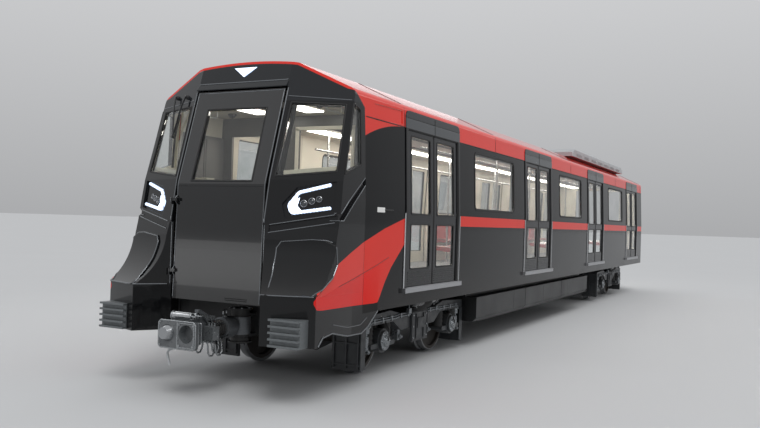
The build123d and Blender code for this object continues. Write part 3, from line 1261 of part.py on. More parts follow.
with BuildPart() as cab_desk:
    for side in (LEFT, RIGHT):
        with BuildSketch(Plane.XZ.offset(-side * DESK_Y0)):
            add(polygon([(DESK_X0, DESK_Z - 40), (DESK_X0, DESK_Z), (DESK_X1 - 70, DESK_Z + 40),
                         (DESK_X1, DASH_Z), (DASH_X, DASH_Z), (DASH_X, DASH_Z - 40),
                         (DESK_X1 + 40, DASH_Z - 40), (DESK_X1, FLOOR_Z), (DESK_X1 - 120, FLOOR_Z),
                         (DESK_X1 - 160, DESK_Z - 40)]))
        extrude(amount=-side * (DESK_Y1 - DESK_Y0))
cab_desk.part.label = "cab_desk"
export_step(cab_desk.part, "parts/cab_desk.step")

with BuildPart() as cab_seat:
    with BuildSketch(Plane.XY.offset(FLOOR_Z)):
        with Locations((CAB_SEAT_X, CAB_SEAT_Y)):
            Circle(SEAT_BASE_R)
    extrude(amount=SEAT_BASE_T)
    with BuildSketch(Plane.XY.offset(FLOOR_Z)):
        with Locations((CAB_SEAT_X, CAB_SEAT_Y)):
            Circle(SEAT_POST_R)
    extrude(amount=SEAT_POST_H)
    with BuildSketch(Plane.XZ.offset(-CAB_SEAT_Y)):
        with Locations((CAB_SEAT_X, FLOOR_Z + SEAT_POST_H + SEAT_T / 2 - 5)):
            RectangleRounded(SEAT_L, SEAT_T, CUSHION_R)
        with Locations((CAB_SEAT_X - SEAT_L / 2 - 20, FLOOR_Z + SEAT_POST_H - 5 + BACK_H / 2)):
            RectangleRounded(BACK_T, BACK_H, CUSHION_R)
    extrude(amount=CAB_SEAT_HALF, both=True)
cab_seat.part.label = "cab_seat"
export_step(cab_seat.part, "parts/cab_seat.step")

with BuildPart() as seats:
    for x in WINDOW_XS:
        with BuildSketch(Plane.YZ.offset(x - BENCH_L / 2)):
            add(polygon(BENCH_SECTION))
        extrude(amount=BENCH_L)
    mirror(about=Plane.XZ)
seats.part.label = "bench_seats"
export_step(seats.part, "parts/bench_seats.step")

with BuildPart() as grab_poles:
    for x in WINDOW_XS:
        for hand in (-1, 1):
            for side in (LEFT, RIGHT):
                with BuildSketch(Plane.XY.offset(FLOOR_Z)):
                    with Locations((x + hand * (BENCH_L / 2 + POLE_R + 5), side * POLE_Y)):
                        Circle(POLE_R)
                extrude(amount=CEILING_Z - FLOOR_Z)
    # rails that run along the ceiling, held by the poles
    for side in (LEFT, RIGHT):
        with BuildSketch(Plane.YZ.offset(WINDOW_XS[-1] - BENCH_L / 2 - 400)):
            with Locations((side * POLE_Y, RAIL_Z)):
                Circle(POLE_R)
        extrude(amount=WINDOW_XS[0] - WINDOW_XS[-1] + BENCH_L + 800)
grab_poles.part.label = "grab_poles"
export_step(grab_poles.part, "parts/grab_poles.step")
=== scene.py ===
# %% [markdown]
# A metro car in the studio
#
# The car's structure comes from its CAD model, in metres: x points forwards, y to the car's left and z up.
# This script gives each surface its finish, adds the small pieces that CAD leaves out, and lights and frames
# the car. It is written in cells. Each cell explains one piece of the real car and how Blender makes it.

import math

import bmesh
import bpy
from mathutils import Matrix, Vector
from mathutils.bvhtree import BVHTree


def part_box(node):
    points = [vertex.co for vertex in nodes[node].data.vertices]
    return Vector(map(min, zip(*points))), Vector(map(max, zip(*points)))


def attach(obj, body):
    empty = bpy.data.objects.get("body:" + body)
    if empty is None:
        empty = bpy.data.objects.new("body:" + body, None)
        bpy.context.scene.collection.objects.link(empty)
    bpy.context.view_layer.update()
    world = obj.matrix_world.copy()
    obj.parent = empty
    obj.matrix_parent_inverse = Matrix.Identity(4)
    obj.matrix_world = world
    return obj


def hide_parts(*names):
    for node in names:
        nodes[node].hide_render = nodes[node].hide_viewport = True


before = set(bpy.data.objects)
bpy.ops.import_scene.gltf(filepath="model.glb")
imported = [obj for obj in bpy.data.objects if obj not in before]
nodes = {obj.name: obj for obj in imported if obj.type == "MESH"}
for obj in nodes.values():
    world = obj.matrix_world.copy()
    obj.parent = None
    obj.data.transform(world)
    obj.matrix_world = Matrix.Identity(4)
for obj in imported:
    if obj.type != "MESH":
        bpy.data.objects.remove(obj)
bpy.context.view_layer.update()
print("nodes in the frame:", len(nodes))

# %% [markdown]
# The camera
#
# The photograph is taken from beside the track, at the eye height of somebody on the platform. The camera's
# place and turn were worked out from corners of the car whose sizes are known. The rows below are the
# camera's own axes in the car's frame, so the car falls on the same spot of the picture as in the photograph.

# %% Place the camera
CAMERA_PLACE = Vector((16.504, 5.579, 1.920))
CAMERA_RIGHT = Vector((-0.45833, 0.88819, 0.03228))
CAMERA_UP = Vector((0.02393, -0.02398, 0.99943))
CAMERA_BACK = Vector((0.88846, 0.45884, -0.01026))
LENS_MM, SENSOR_MM = 37.54, 36.0


def new_object(name, data):
    """An object made from its data and linked to the scene."""
    made = bpy.data.objects.new(name, data)
    bpy.context.scene.collection.objects.link(made)
    return made


camera_data = bpy.data.cameras.new("camera")
camera_data.lens = LENS_MM
camera_data.sensor_width = SENSOR_MM
camera_data.clip_end = 900
camera = new_object("camera", camera_data)
camera_axes = Matrix((CAMERA_RIGHT, CAMERA_UP, CAMERA_BACK)).transposed()
camera.matrix_world = Matrix.Translation(CAMERA_PLACE) @ camera_axes.to_4x4()
bpy.context.scene.camera = camera

# %% [markdown]
# Sizes that come back
#
# The doorways and windows repeat along the car, and many small pieces sit on them. Their places are written
# once here, in metres, as they are in the CAD model.

# %% Name the repeated places
HALF_W, LEAN_Z = 1.400, 2.100
EAVES_Y, EAVES_Z = 1.350, 3.360
FLOOR_Z = 1.120
COUPLER_FACE_X, COUPLER_Z, COUPLER_PIVOT_X = 10.180, 0.690, 9.115
CYLINDER_X0, CYLINDER_Z0 = 9.888, 0.834
DOOR_XS = (6.835, 1.885, -3.065, -8.015)
PORTAL_HALF, PORTAL_TOP_Z = 0.890, 3.314
FRAME_W, FRAME_PROUD = 0.060, 0.012
LEAF_BACK = 0.010
PANE_MID, PANE_W = 0.405, 0.600
LEAF_PANES = ((1.345, 1.906), (2.035, 3.010))
BOGIE_XS = {"front": 6.585, "rear": -6.415}
AXLE_X, AXLE_Z = 1.100, 0.448
SIDES = (1, -1)
LEAN = math.atan((HALF_W - EAVES_Y) / (EAVES_Z - LEAN_Z))


def side_y(z):
    """Half width of the car's outer face at height z: upright below LEAN_Z, leaning inwards above."""
    if z <= LEAN_Z:
        return HALF_W
    return HALF_W - (HALF_W - EAVES_Y) * (z - LEAN_Z) / (EAVES_Z - LEAN_Z)


print("the sides lean in by", round(math.degrees(LEAN), 2), "degrees")

# %% [markdown]
# Colours and nodes
#
# Colours are written as sRGB hex values, as a paint chart would give them, and turned to linear light by one
# function. A second small function adds a node, sets its values and makes its links, so that each finish
# below reads as a short recipe. The kinds of node that come often have short names.

# %% Helpers for materials
MIX = ("ShaderNodeMix", {"data_type": "RGBA"})
MINUS, TIMES, PLUS, LARGER, SHARE, SINE, COSINE, UNSIGNED = [
    ("ShaderNodeMath", {"operation": word})
    for word in ("SUBTRACT", "MULTIPLY", "ADD", "MAXIMUM", "DIVIDE", "SINE", "COSINE", "ABSOLUTE")]
V_MINUS, V_TIMES, V_DOT, V_AWAY, V_SCALE = [
    ("ShaderNodeVectorMath", {"operation": word})
    for word in ("SUBTRACT", "MULTIPLY", "DOT_PRODUCT", "DISTANCE", "SCALE")]
RANGE, BUMP, ROUNDING = "ShaderNodeMapRange", "ShaderNodeBump", ("ShaderNodeBevel", {"samples": 4})
COORDINATES, SPLIT, UNITE = "ShaderNodeTexCoord", "ShaderNodeSeparateXYZ", "ShaderNodeCombineXYZ"
EDGE_MM = 4.0


def linear(hex_colour):
    """An sRGB hex colour as linear red, green, blue and an alpha of 1."""
    channels = []
    for start in (0, 2, 4):
        value = int(hex_colour[start:start + 2], 16) / 255
        channels.append(value / 12.92 if value <= 0.04045 else ((value + 0.055) / 1.055) ** 2.4)
    return (*channels, 1.0)


def add_node(tree, kind, *values, **named):
    """Adds a node. kind is its type, or its type and settings.

    The values go to its inputs in use, in their order, and the named ones to the inputs of those names. Each
    is a number, a hex colour, a socket, or another node, of which it takes the first output in use.
    """
    kind, settings = kind if isinstance(kind, tuple) else (kind, {})
    node = tree.nodes.new(kind)
    for name, value in settings.items():
        setattr(node, name, value)
    taking = [socket for socket in node.inputs if socket.enabled][:len(values)]
    taking += [node.inputs[name] for name in named]
    for socket, value in zip(taking, [*values, *named.values()]):
        if isinstance(value, bpy.types.Node):
            value = next(output for output in value.outputs if output.enabled)
        if isinstance(value, bpy.types.NodeSocket):
            tree.links.new(value, socket)
        else:
            socket.default_value = linear(value) if isinstance(value, str) else value
    return node


def grain(tree, size_mm, detail=4.0, stretch=(1, 1, 1)):
    """A blotchy pattern. Its blotches are about size_mm across, and longer where stretch is under 1."""
    place = add_node(tree, COORDINATES).outputs["Object"]
    place = add_node(tree, "ShaderNodeMapping", Vector=place, Scale=stretch)
    return add_node(tree, "ShaderNodeTexNoise", Vector=place, Scale=1000 / size_mm, Detail=detail)


def car_axes(tree):
    """Object coordinates in metres, as separate x, y and z."""
    return add_node(tree, SPLIT, add_node(tree, COORDINATES).outputs["Object"]).outputs


def paint_band(tree, value, low, high, soft=0.0015):
    """1 where a value lies between low and high, with an edge as soft as sprayed masking tape leaves."""
    first, last = [add_node(tree, RANGE, add_node(tree, MINUS, one, other), -soft, soft)
                   for one, other in ((value, low), (high, value))]
    return add_node(tree, TIMES, first, last)


def new_material(name):
    """An empty node material and its tree."""
    material = bpy.data.materials.new(name)
    material.use_nodes = True
    material.node_tree.nodes.clear()
    return material, material.node_tree


def surface(material, sockets):
    """Closes a material with a principled shader whose sockets take these values and nodes."""
    shader = add_node(material.node_tree, "ShaderNodeBsdfPrincipled", **sockets)
    add_node(material.node_tree, "ShaderNodeOutputMaterial", Surface=shader)
    return material


def finish(name, colour, shade, roughness, grain_mm=40, metal=0.0, wear=0.06, bump_mm=0.0,
           bump_size_mm=8, coat=0.0, stretch=(1, 1, 1), change=None):
    """A surface whose colour and roughness vary a little.

    shade is the second colour of the variation, grain_mm its size, and wear the spread of the roughness.
    change is a function that alters what the shader's sockets take.
    """
    material, tree = new_material(name)
    pattern = grain(tree, grain_mm, stretch=stretch)
    normal = add_node(tree, ROUNDING, Radius=EDGE_MM / 1000)
    if bump_mm:
        normal = add_node(tree, BUMP, Height=grain(tree, bump_size_mm, 2.0), Strength=0.6,
                          Distance=bump_mm / 1000, Normal=normal)
    sockets = {
        "Base Color": add_node(tree, MIX, pattern, colour, shade),
        "Roughness": add_node(tree, RANGE, pattern, 0.3, 0.7, max(roughness - wear, 0.02), roughness + wear),
        "Metallic": metal, "Coat Weight": coat, "Coat Roughness": 0.03, "Normal": normal}
    if change:
        change(tree, sockets)
    return surface(material, sockets)


def paint_on(material, *names):
    """Gives CAD nodes a material."""
    for name in names:
        slots = nodes[name].data.materials
        slots.clear()
        slots.append(material)


# %% [markdown]
# The livery
#
# The car's aluminium body is sprayed with black two-pack enamel under clear lacquer, which gives deep, sharp
# reflections. A red blade sweeps from the first doorway down to the nose, and goes on behind that doorway as
# a straight stripe. It is paint, not a piece of its own, so it belongs in the material. Each edge of the
# blade is one Float Curve that gives its height at each x. The paint is red where z lies between the two
# curves. Inside, the same wall is lined with cream panels: those faces point towards the middle of the car.

# %% Make the livery
BLADE_X0, BLADE_X1 = 7.70, 9.80
BLADE_Z0, BLADE_Z1 = 0.90, 2.10
BLADE_TOP = ((7.70, 1.985), (7.781, 1.966), (8.282, 1.846), (8.786, 1.691), (9.063, 1.580), (9.303, 1.474),
             (9.36, 1.440), (9.44, 1.318), (9.605, 1.238), (9.664, 1.210), (9.721, 1.171), (9.743, 1.138),
             (9.754, 1.09), (9.80, 1.08))
BLADE_BOTTOM = ((7.70, 1.69), (7.757, 1.644), (7.869, 1.556), (8.085, 1.386), (8.238, 1.220), (8.375, 1.03),
                (8.41, 0.998), (8.511, 0.995), (8.978, 1.003), (9.294, 1.004), (9.632, 1.006), (9.720, 1.014),
                (9.744, 1.034), (9.754, 1.09), (9.80, 1.10))
CREASE = ((7.70, 1.62), (8.465, 1.424), (8.997, 1.294), (9.436, 1.196), (9.80, 1.12))
STRIPE_Z0, STRIPE_Z1 = 1.894, 2.042
STRIPE_X0, STRIPE_X1 = -20.0, 6.2
LIVERY_Y0, LIVERY_Y1 = 1.378, 1.409
CREASE_SLOPE = -0.16
# x between which the red's painted shade and the fold set in below the crease, and z between which the dust
# does
RED_SHADE_X, FOLD_X, DUST_Z = (8.15, 8.75), (8.40, 9.0), (1.5, 0.7)
DUST = "6b635a"
PANEL_DULLER = 0.35
# each surface has its colour and the shade that it varies to
# the third pair is the blade's red painted deeper, as shade below the crease, not a paint of its own
BLACK, RED, RED_PAINTED_SHADE = ("0c0d0f", "111214"), ("dc372d", "d33228"), ("e4170c", "da150b")
NOSE_BLACK, PORTAL_BLACK, LEAF_BLACK = ("0b0c0e", "0f1012"), ("0d0e10", "111214"), ("1f2023", "242528")
CREAM, CAB_CREAM, DOOR_CREAM = ("e0dccf", "d7d1c3"), ("c9c1ae", "beb6a3"), ("cdc7b9", "c2bcae")


def line_on_side(tree, x, points):
    """Height at x of a line drawn on the side, given as (x, z) points."""
    share = add_node(tree, RANGE, x, BLADE_X0, BLADE_X1)
    node = add_node(tree, "ShaderNodeFloatCurve", Value=share)
    curve = node.mapping.curves[0]
    places = [((px - BLADE_X0) / (BLADE_X1 - BLADE_X0), (pz - BLADE_Z0) / (BLADE_Z1 - BLADE_Z0))
              for px, pz in points]
    curve.points[0].location = places[0]
    curve.points[1].location = places[-1]
    for place in places[1:-1]:
        curve.points.new(*place)
    for point in curve.points:
        point.handle_type = "VECTOR"
    node.mapping.update()
    return add_node(tree, RANGE, node, 0, 1, BLADE_Z0, BLADE_Z1)


def red_paint(tree):
    """1 on the blade and on the stripe."""
    x, y, z = car_axes(tree)
    edges = line_on_side(tree, x, BLADE_BOTTOM), line_on_side(tree, x, BLADE_TOP)
    blade = add_node(tree, TIMES, paint_band(tree, z, *edges), paint_band(tree, x, BLADE_X0, BLADE_X1))
    stripe = add_node(tree, TIMES, paint_band(tree, z, STRIPE_Z0, STRIPE_Z1),
                      paint_band(tree, x, STRIPE_X0, STRIPE_X1))
    both = add_node(tree, LARGER, blade, stripe)
    outer = paint_band(tree, add_node(tree, UNSIGNED, y), LIVERY_Y0, LIVERY_Y1)
    return add_node(tree, TIMES, both, outer)


def lining(tree, centre, share):
    """1 on faces that look towards a centre. share leaves an axis out with 0."""
    coordinates = add_node(tree, COORDINATES).outputs
    arm = add_node(tree, V_MINUS, coordinates["Object"], centre)
    arm = add_node(tree, V_TIMES, arm, share)
    dot = add_node(tree, V_DOT, arm, coordinates["Normal"])
    return add_node(tree, RANGE, dot, -0.5, -0.4, 1.0, 0.0)


def enamel(name, colours, inside=None, red=False, inner=CREAM, dust=0.10, bands=(), coat=0.0, mirror=0.25,
           edge_mm=6.0):
    """Sprayed enamel under lacquer, red and creased where the blade is. Below the crease a deeper red is
    painted as shade.

    inside is the centre and share that tell its inner faces. bands lists low and high height and colour of
    plain bands. coat is the lacquer's weight, and mirror how strongly the paint under it reflects.
    """
    material, tree = new_material(name)
    x, _, height = car_axes(tree)
    pattern = grain(tree, 900, 3.0)
    paint = add_node(tree, MIX, pattern, *colours)
    normal = add_node(tree, ROUNDING, Radius=edge_mm / 1000)
    for low, high, band in bands:
        paint = add_node(tree, MIX, paint_band(tree, height, low, high), paint, band)
    if red:
        crease = line_on_side(tree, x, CREASE)
        # below the crease a deeper red is painted as shade, where the side turns away from the sky
        below = add_node(tree, TIMES, paint_band(tree, height, 0.5, crease, soft=0.012),
                         add_node(tree, RANGE, x, *RED_SHADE_X))
        reds = add_node(tree, MIX, pattern, *RED)
        deep = add_node(tree, MIX, pattern, *RED_PAINTED_SHADE)
        reds = add_node(tree, MIX, below, reds, deep)
        paint = add_node(tree, MIX, red_paint(tree), paint, reds)
        # below the crease the side turns in a little, as much as the slope of this height
        depth = add_node(tree, MINUS, crease, height)
        fold = add_node(tree, TIMES, add_node(tree, RANGE, depth, 0, 1, 0, CREASE_SLOPE),
                        add_node(tree, RANGE, x, *FOLD_X))
        normal = add_node(tree, BUMP, Height=fold, Strength=1.0, Distance=1.0, Normal=normal)
    # brake dust settles towards the sill and dulls the lacquer there
    low_down = add_node(tree, RANGE, height, *DUST_Z)
    grime = add_node(tree, TIMES, low_down, grain(tree, 220, 6.0, (0.3, 1, 1)))
    paint = add_node(tree, MIX, add_node(tree, TIMES, grime, dust), paint, DUST)
    gloss = add_node(tree, RANGE, grime, 0, 1, 0.08, 0.08 + 3 * dust)
    if inside:
        lined = lining(tree, *inside)
        panel = add_node(tree, MIX, pattern, *inner)
        paint = add_node(tree, MIX, lined, paint, panel)
        gloss = add_node(tree, PLUS, gloss, add_node(tree, TIMES, lined, PANEL_DULLER))
    # the faint waviness of lacquer, drawn coarser than the real orange peel so that it shows
    normal = add_node(tree, BUMP, Height=grain(tree, 260, 1.0), Strength=0.2, Distance=0.0015,
                      Normal=normal)
    return surface(material, {"Base Color": paint, "Roughness": gloss, "Specular IOR Level": mirror,
                              "Coat Weight": coat, "Coat Roughness": 0.02, "Normal": normal})


SALOON, ROOF = ((0, 0, 2.2), (0, 1, 0)), ((0, 0, 2.2), (0, 1, 1))
CAB, CAB_DOOR = ((8.4, 0, 2.2), (1, 0.45, 0)), ((8.4, 0, 2.2), (1, 0, 0))
REAR = ((-12, 0, 2.2), (-1, 0, 0))
paint_on(enamel("side_enamel", BLACK, SALOON, red=True, mirror=0.15), "side_wall_left", "side_wall_right")
paint_on(enamel("end_wall_enamel", BLACK, REAR), "rear_end_wall")
paint_on(enamel("red_roof_enamel", RED, ROOF, dust=0.0), "roof")
paint_on(enamel("black_mask_gelcoat", NOSE_BLACK, CAB, red=True, inner=CAB_CREAM, coat=0.3, mirror=0.2,
                bands=((3.225, 3.80, "1d1f22"),), edge_mm=9.0), "front_mask")
paint_on(enamel("black_skirt_gelcoat", NOSE_BLACK, red=True, dust=0.03, coat=0.3, mirror=0.2, edge_mm=9.0),
         "front_skirts")
paint_on(enamel("front_door_gelcoat", NOSE_BLACK, CAB_DOOR, inner=CAB_CREAM, coat=0.8, mirror=0.4,
                edge_mm=9.0), "front_door")
print("livery materials:", len(bpy.data.materials))

# %% [markdown]
# Doorways
#
# Each doorway is a black portal with a two-tone cap above the leaves: a dark band under the roof and a grey
# cover below it. The leaves are a shade lighter than the portal, and their foot is a darker kick panel. All
# of this is paint again, chosen by height.

# %% Paint portals and door leaves
CAP_Z, CAP_SPLIT_Z = 3.095, 3.215
KICK_Z0, KICK_Z1 = 1.125, 1.335
CAP_BANDS = ((CAP_Z, CAP_SPLIT_Z, "44474a"), (CAP_SPLIT_Z, 3.4, "2a2c2f"))
KICK_BAND = (KICK_Z0, KICK_Z1, "111214")

paint_on(enamel("portal_enamel", PORTAL_BLACK, SALOON, inner=DOOR_CREAM, bands=CAP_BANDS, mirror=0.35),
         "portal_frames")
paint_on(enamel("door_leaf_enamel", LEAF_BLACK, SALOON, inner=DOOR_CREAM, bands=(KICK_BAND,), mirror=0.3),
         "door_leaves")
print("doorways painted:", 2 * len(DOOR_XS))

# %% [markdown]
# Glass
#
# The panes are toughened glass, faintly grey, so the lit saloon shows through. Real glass also lets the
# lamps' light in. A path tracer finds that light only by chance, so shadow rays are let straight through
# with the Light Path node, which keeps the saloon bright and free of noise.

# %% Make the glass


def glass(name, tint):
    """Clear toughened glass with a faint tint and a film of dust."""
    material, tree = new_material(name)
    film = grain(tree, 300, 5.0)
    surface(material, {"Base Color": add_node(tree, MIX, film, tint, "ffffff"),
                       "Roughness": add_node(tree, RANGE, film, 0.3, 0.8, 0.0, 0.03),
                       "Transmission Weight": 1.0, "IOR": 1.45})
    shadow = add_node(tree, "ShaderNodeLightPath").outputs["Is Shadow Ray"]
    clear = add_node(tree, "ShaderNodeBsdfTransparent", Color="e4e8e6")
    mix = add_node(tree, "ShaderNodeMixShader", shadow, tree.nodes["Principled BSDF"], clear)
    tree.links.new(mix.outputs[0], tree.nodes["Material Output"].inputs["Surface"])
    return material


paint_on(glass("grey_toughened_glass", "d3d9d6"), "door_glass", "side_window_glass")
paint_on(glass("laminated_windscreen_glass", "e6ebe8"), "windscreens", "quarter_glass", "front_door_glass")

# %% [markdown]
# Lamps
#
# The headlamps are rows of white LEDs behind a diffuser, cool in colour. Emission makes them glow. A sine
# across the strip lets the single LEDs be told apart. The saloon's ceiling lights are the same, only warmer
# and softer, and they are what lights the saloon.

# %% Make the lamps


def lamp(name, colour, strength, pitch_mm=0):
    """A glowing diffuser. pitch_mm is the distance between its LEDs."""
    material, tree = new_material(name)
    if pitch_mm:
        turns = add_node(tree, TIMES, car_axes(tree)[1], 2000 * math.pi / pitch_mm)
        glow = add_node(tree, RANGE, add_node(tree, SINE, turns), -1.0, 0.4, 0.25 * strength, strength)
    else:
        glow = add_node(tree, RANGE, grain(tree, 500, 2.0), 0.3, 0.7, 0.92 * strength, strength)
    return surface(material, {"Base Color": "f4f6f8", "Roughness": 0.2, "Emission Color": colour,
                              "Emission Strength": glow})


paint_on(lamp("headlamp_led_diffuser", "bcd6ff", 1.7, pitch_mm=32), "headlamps")
paint_on(lamp("marker_lamp_diffuser", "bcd6ff", 1.7), "marker_lamp")
paint_on(lamp("saloon_light_diffuser", "fff8ee", 11.0), "ceiling_lights")

# %% [markdown]
# Metals, rubber and plastics
#
# Every other surface starts from what the real one is. Castings are rough and speckled, machined steel is
# smooth, rubber is nearly black with a dull sheen, and the running gear is painted dark grey and dusty. The
# coupler's head is painted too, but its cone and its air cylinders are bare machined steel.

# %% Make the plain finishes
EPDM = finish("epdm_rubber", "141415", "1c1c1d", 0.62, 30, bump_mm=0.4)
BELLOWS = finish("rubberised_bellows_cloth", "232325", "2c2c2e", 0.78, 25, bump_mm=1.0, bump_size_mm=5)
ALUMINIUM = finish("brushed_aluminium", "b9babc", "a4a5a8", 0.34, 12, 1.0, stretch=(0.05, 1, 1))
STAINLESS = finish("polished_stainless_steel", "c9cacc", "bfc0c2", 0.18, 60, 1.0)
CHROME = finish("machined_steel", "aeb0b3", "96989b", 0.24, 20, 1.0, 0.1)
CASTING = finish("cast_steel", "75787b", "5c5f62", 0.45, 14, 0.6, 0.14, 1.0, 6)
RIB_STEEL = finish("galvanised_ribs", "707476", "5d6163", 0.4, 35, 0.35, 0.1)
UNDERFRAME = finish("black_underframe_paint", "1c1d1f", "2a2927", 0.55, 180, wear=0.12, bump_mm=0.6,
                    bump_size_mm=30)
CASE_PAINT = finish("dark_grey_case_paint", "161718", "191a1b", 0.42, 700)
ROOF_PAINT = finish("light_grey_roof_paint", "a6a8aa", "9a9c9e", 0.4, 250, wear=0.1)
SPRING_RUBBER = finish("spring_rubber", "1b1b1c", "262524", 0.7, bump_mm=0.8)
MOTOR_CAST = finish("motor_casting", "3a3b3c", "2e2e2f", 0.55, 18, 0.4, bump_mm=1.2)
CREAM_GRP = finish("cream_ceiling_panel", "ded8ca", "d4cebf", 0.4, 300)
LAMINATE = finish("grey_brown_laminate", "4d4b48", "464441", 0.36, 120, bump_mm=0.3, bump_size_mm=4)
DESK_PLASTIC = finish("desk_plastic", "c2bba9", "b7b09e", 0.5, 80, bump_mm=0.4, bump_size_mm=3)
DARK_PLASTIC = finish("dark_grained_plastic", "1d1e20", "262729", 0.48, 60, bump_mm=0.3, bump_size_mm=3)
SEAT_CLOTH = finish("black_seat_cloth", "1f2023", "2b2c30", 0.9, 6, bump_mm=0.8, bump_size_mm=3)
SEAT_SHELL = finish("red_seat_shell", "a32420", "942019", 0.35, 150, coat=0.3)
WHITE_PAINT = finish("white_powder_coat", "e4e4e2", "dadad8", 0.35, 50)
# light grey polished metal for the bars that draw painted highlights on the nose's rounded edges
HIGHLIGHT_METAL = finish("edge_highlight_metal", "7e8184", "74777a", 0.14, 90, 1.0, 0.04)
# dark red for the bar that draws the painted shade in the blade's fold
CREASE_SHADE_RED = finish("shaded_red_enamel", "8c1710", "7c130d", 0.3, 200, wear=0.02)
LOCKER_GREY = finish("dark_grey_locker", "5a5957", "504f4d", 0.4, 400, wear=0.03)
WIPER_BLACK = finish("satin_black_steel", "131416", "1b1c1e", 0.35, 30, wear=0.08)


def bare_head(tree, sockets):
    """Bares the steel of the coupler head's cone and of the air cylinders."""
    x, _, z = car_axes(tree)
    cylinders = add_node(tree, TIMES, paint_band(tree, z, CYLINDER_Z0, 2.0),
                         paint_band(tree, x, CYLINDER_X0, 11.0))
    bare = add_node(tree, LARGER, paint_band(tree, x, COUPLER_FACE_X + 0.001, 11.0), cylinders)
    smoother = add_node(tree, TIMES, bare, 0.22)
    sockets["Base Color"] = add_node(tree, MIX, bare, sockets["Base Color"], "a6a8aa")
    sockets["Roughness"] = add_node(tree, MINUS, sockets["Roughness"], smoother)
    sockets["Metallic"] = bare


HEAD_PAINT = finish("coupler_head_steel", "505355", "45484a", 0.34, 60, wear=0.1, bump_mm=0.4,
                    bump_size_mm=10, change=bare_head)
paint_on(EPDM, "side_window_frames")
paint_on(BELLOWS, "gangway_bellows")
paint_on(ALUMINIUM, "door_thresholds", "gangway_frame")
paint_on(STAINLESS, "grab_poles")
paint_on(WIPER_BLACK, "front_hinge_pins")
paint_on(CASTING, "coupler_shank", "rear_drawbar", "kingpins")
paint_on(HEAD_PAINT, "coupler_head")
paint_on(RIB_STEEL, "anti_climbers")
paint_on(UNDERFRAME, "coupler_brackets", "jacking_pads")
paint_on(CASE_PAINT, "equipment_cases")
paint_on(ROOF_PAINT, "roof_unit")
paint_on(CREAM_GRP, "ceiling")
paint_on(LAMINATE, "cab_partition")
paint_on(DESK_PLASTIC, "cab_desk")
paint_on(SEAT_CLOTH, "cab_seat")
paint_on(SEAT_SHELL, "bench_seats")

# %% [markdown]
# The floor of the car is two surfaces in one piece: speckled grey vinyl above and black underframe paint
# below. Bogies carry dust that gathers on what faces up. The z of the face's normal tells how much a face
# looks up, and mixes that dust in.

# %% Make the floor and the running gear


def settle_dust(tree, sockets):
    """Lays dust on the faces that look up."""
    normal = add_node(tree, COORDINATES).outputs["Normal"]
    up = add_node(tree, SPLIT, normal).outputs[2]
    facing = add_node(tree, RANGE, up, 0.1, 0.9, 0.15)
    blotches = add_node(tree, RANGE, grain(tree, 130, 6.0), 0.3, 0.7, 0, 0.25)
    settled = add_node(tree, TIMES, facing, blotches)
    sockets["Base Color"] = add_node(tree, MIX, settled, sockets["Base Color"], "6a645b")


def vinyl_floor():
    """Speckled vinyl on top, underframe paint below."""
    material, tree = new_material("speckled_vinyl_floor")
    specks = add_node(tree, RANGE, grain(tree, 9, 2.0), 0.55, 0.65)
    vinyl = add_node(tree, MIX, specks, "77787a", "9a9b9c")
    top = paint_band(tree, car_axes(tree)[2], FLOOR_Z - 0.01, 9.0)
    return surface(material, {
        "Base Color": add_node(tree, MIX, top, "1c1d1f", vinyl),
        "Roughness": add_node(tree, RANGE, grain(tree, 60), 0.3, 0.7, 0.4, 0.6)})


BOGIE_PAINT = finish("bogie_paint", "303336", "282a2d", 0.42, 90, wear=0.12, bump_mm=0.8, bump_size_mm=12,
                     change=settle_dust)
paint_on(vinyl_floor(), "floor")
for end in BOGIE_XS:
    paint_on(BOGIE_PAINT, f"bogie_frame_{end}", f"axle_boxes_{end}")
    paint_on(SPRING_RUBBER, f"bogie_springs_{end}")
    paint_on(MOTOR_CAST, f"motors_{end}", f"brakes_{end}")

# %% [markdown]
# Wheels
#
# A steel wheel is bright only where it rolls and brakes: on its tread and flange. The web is painted or
# rusty brown-black. The distance from the axle tells the two apart, so each wheelset has its own centre in
# its material. Fine rings from the lathe are a sine of the same distance.

# %% Make the wheel steel
TREAD_INNER = 0.405
RING_PITCH = 0.004


def wheel_steel(name, axle_x):
    """Turned steel, bright from the tread outwards, with a dark dusty web."""
    material, tree = new_material(name)
    x, _, z = car_axes(tree)
    place = add_node(tree, UNITE, x, 0, z)
    radius = add_node(tree, V_AWAY, place, (axle_x, 0, AXLE_Z)).outputs["Value"]
    bright = paint_band(tree, radius, TREAD_INNER, 9.0, soft=0.004)
    web = add_node(tree, MIX, grain(tree, 60, 6.0), "2d2a28", "3b352f")
    turns = add_node(tree, TIMES, radius, 2 * math.pi / RING_PITCH)
    rings = add_node(tree, SINE, turns)
    return surface(material, {
        "Base Color": add_node(tree, MIX, bright, web, "9a9b9d"),
        "Metallic": add_node(tree, RANGE, bright, 0, 1, 0, 0.95),
        "Roughness": add_node(tree, RANGE, bright, 0, 1, 0.62, 0.26),
        "Normal": add_node(tree, BUMP, Height=rings, Strength=0.15, Distance=0.0003)})


for end, bogie_x in BOGIE_XS.items():
    for place, hand in (("leading", 1), ("trailing", -1)):
        paint_on(wheel_steel(f"wheel_steel_{end}_{place}", bogie_x + hand * AXLE_X),
                 f"wheelset_{end}_{place}")
print("materials so far:", len(bpy.data.materials))

# %% [markdown]
# Tools for the added pieces
#
# Small pieces are built as meshes, several to one object. Four short functions put a box, a bar that follows
# a path, a turned shape or a flat plate into a bmesh. shapes() reads such shapes from a table and mirrors
# them to both sides or ends. keep() makes an object: it welds the mesh, points its faces outwards, rounds its
# edges a little, and lets it ride on a body of the car.

# %% Helpers for meshes
SMOOTH_ANGLE = math.radians(35)
AXES = {"x": (1, 0, 0), "-x": (-1, 0, 0), "y": (0, 1, 0), "-y": (0, -1, 0), "z": (0, 0, 1), "-z": (0, 0, -1)}
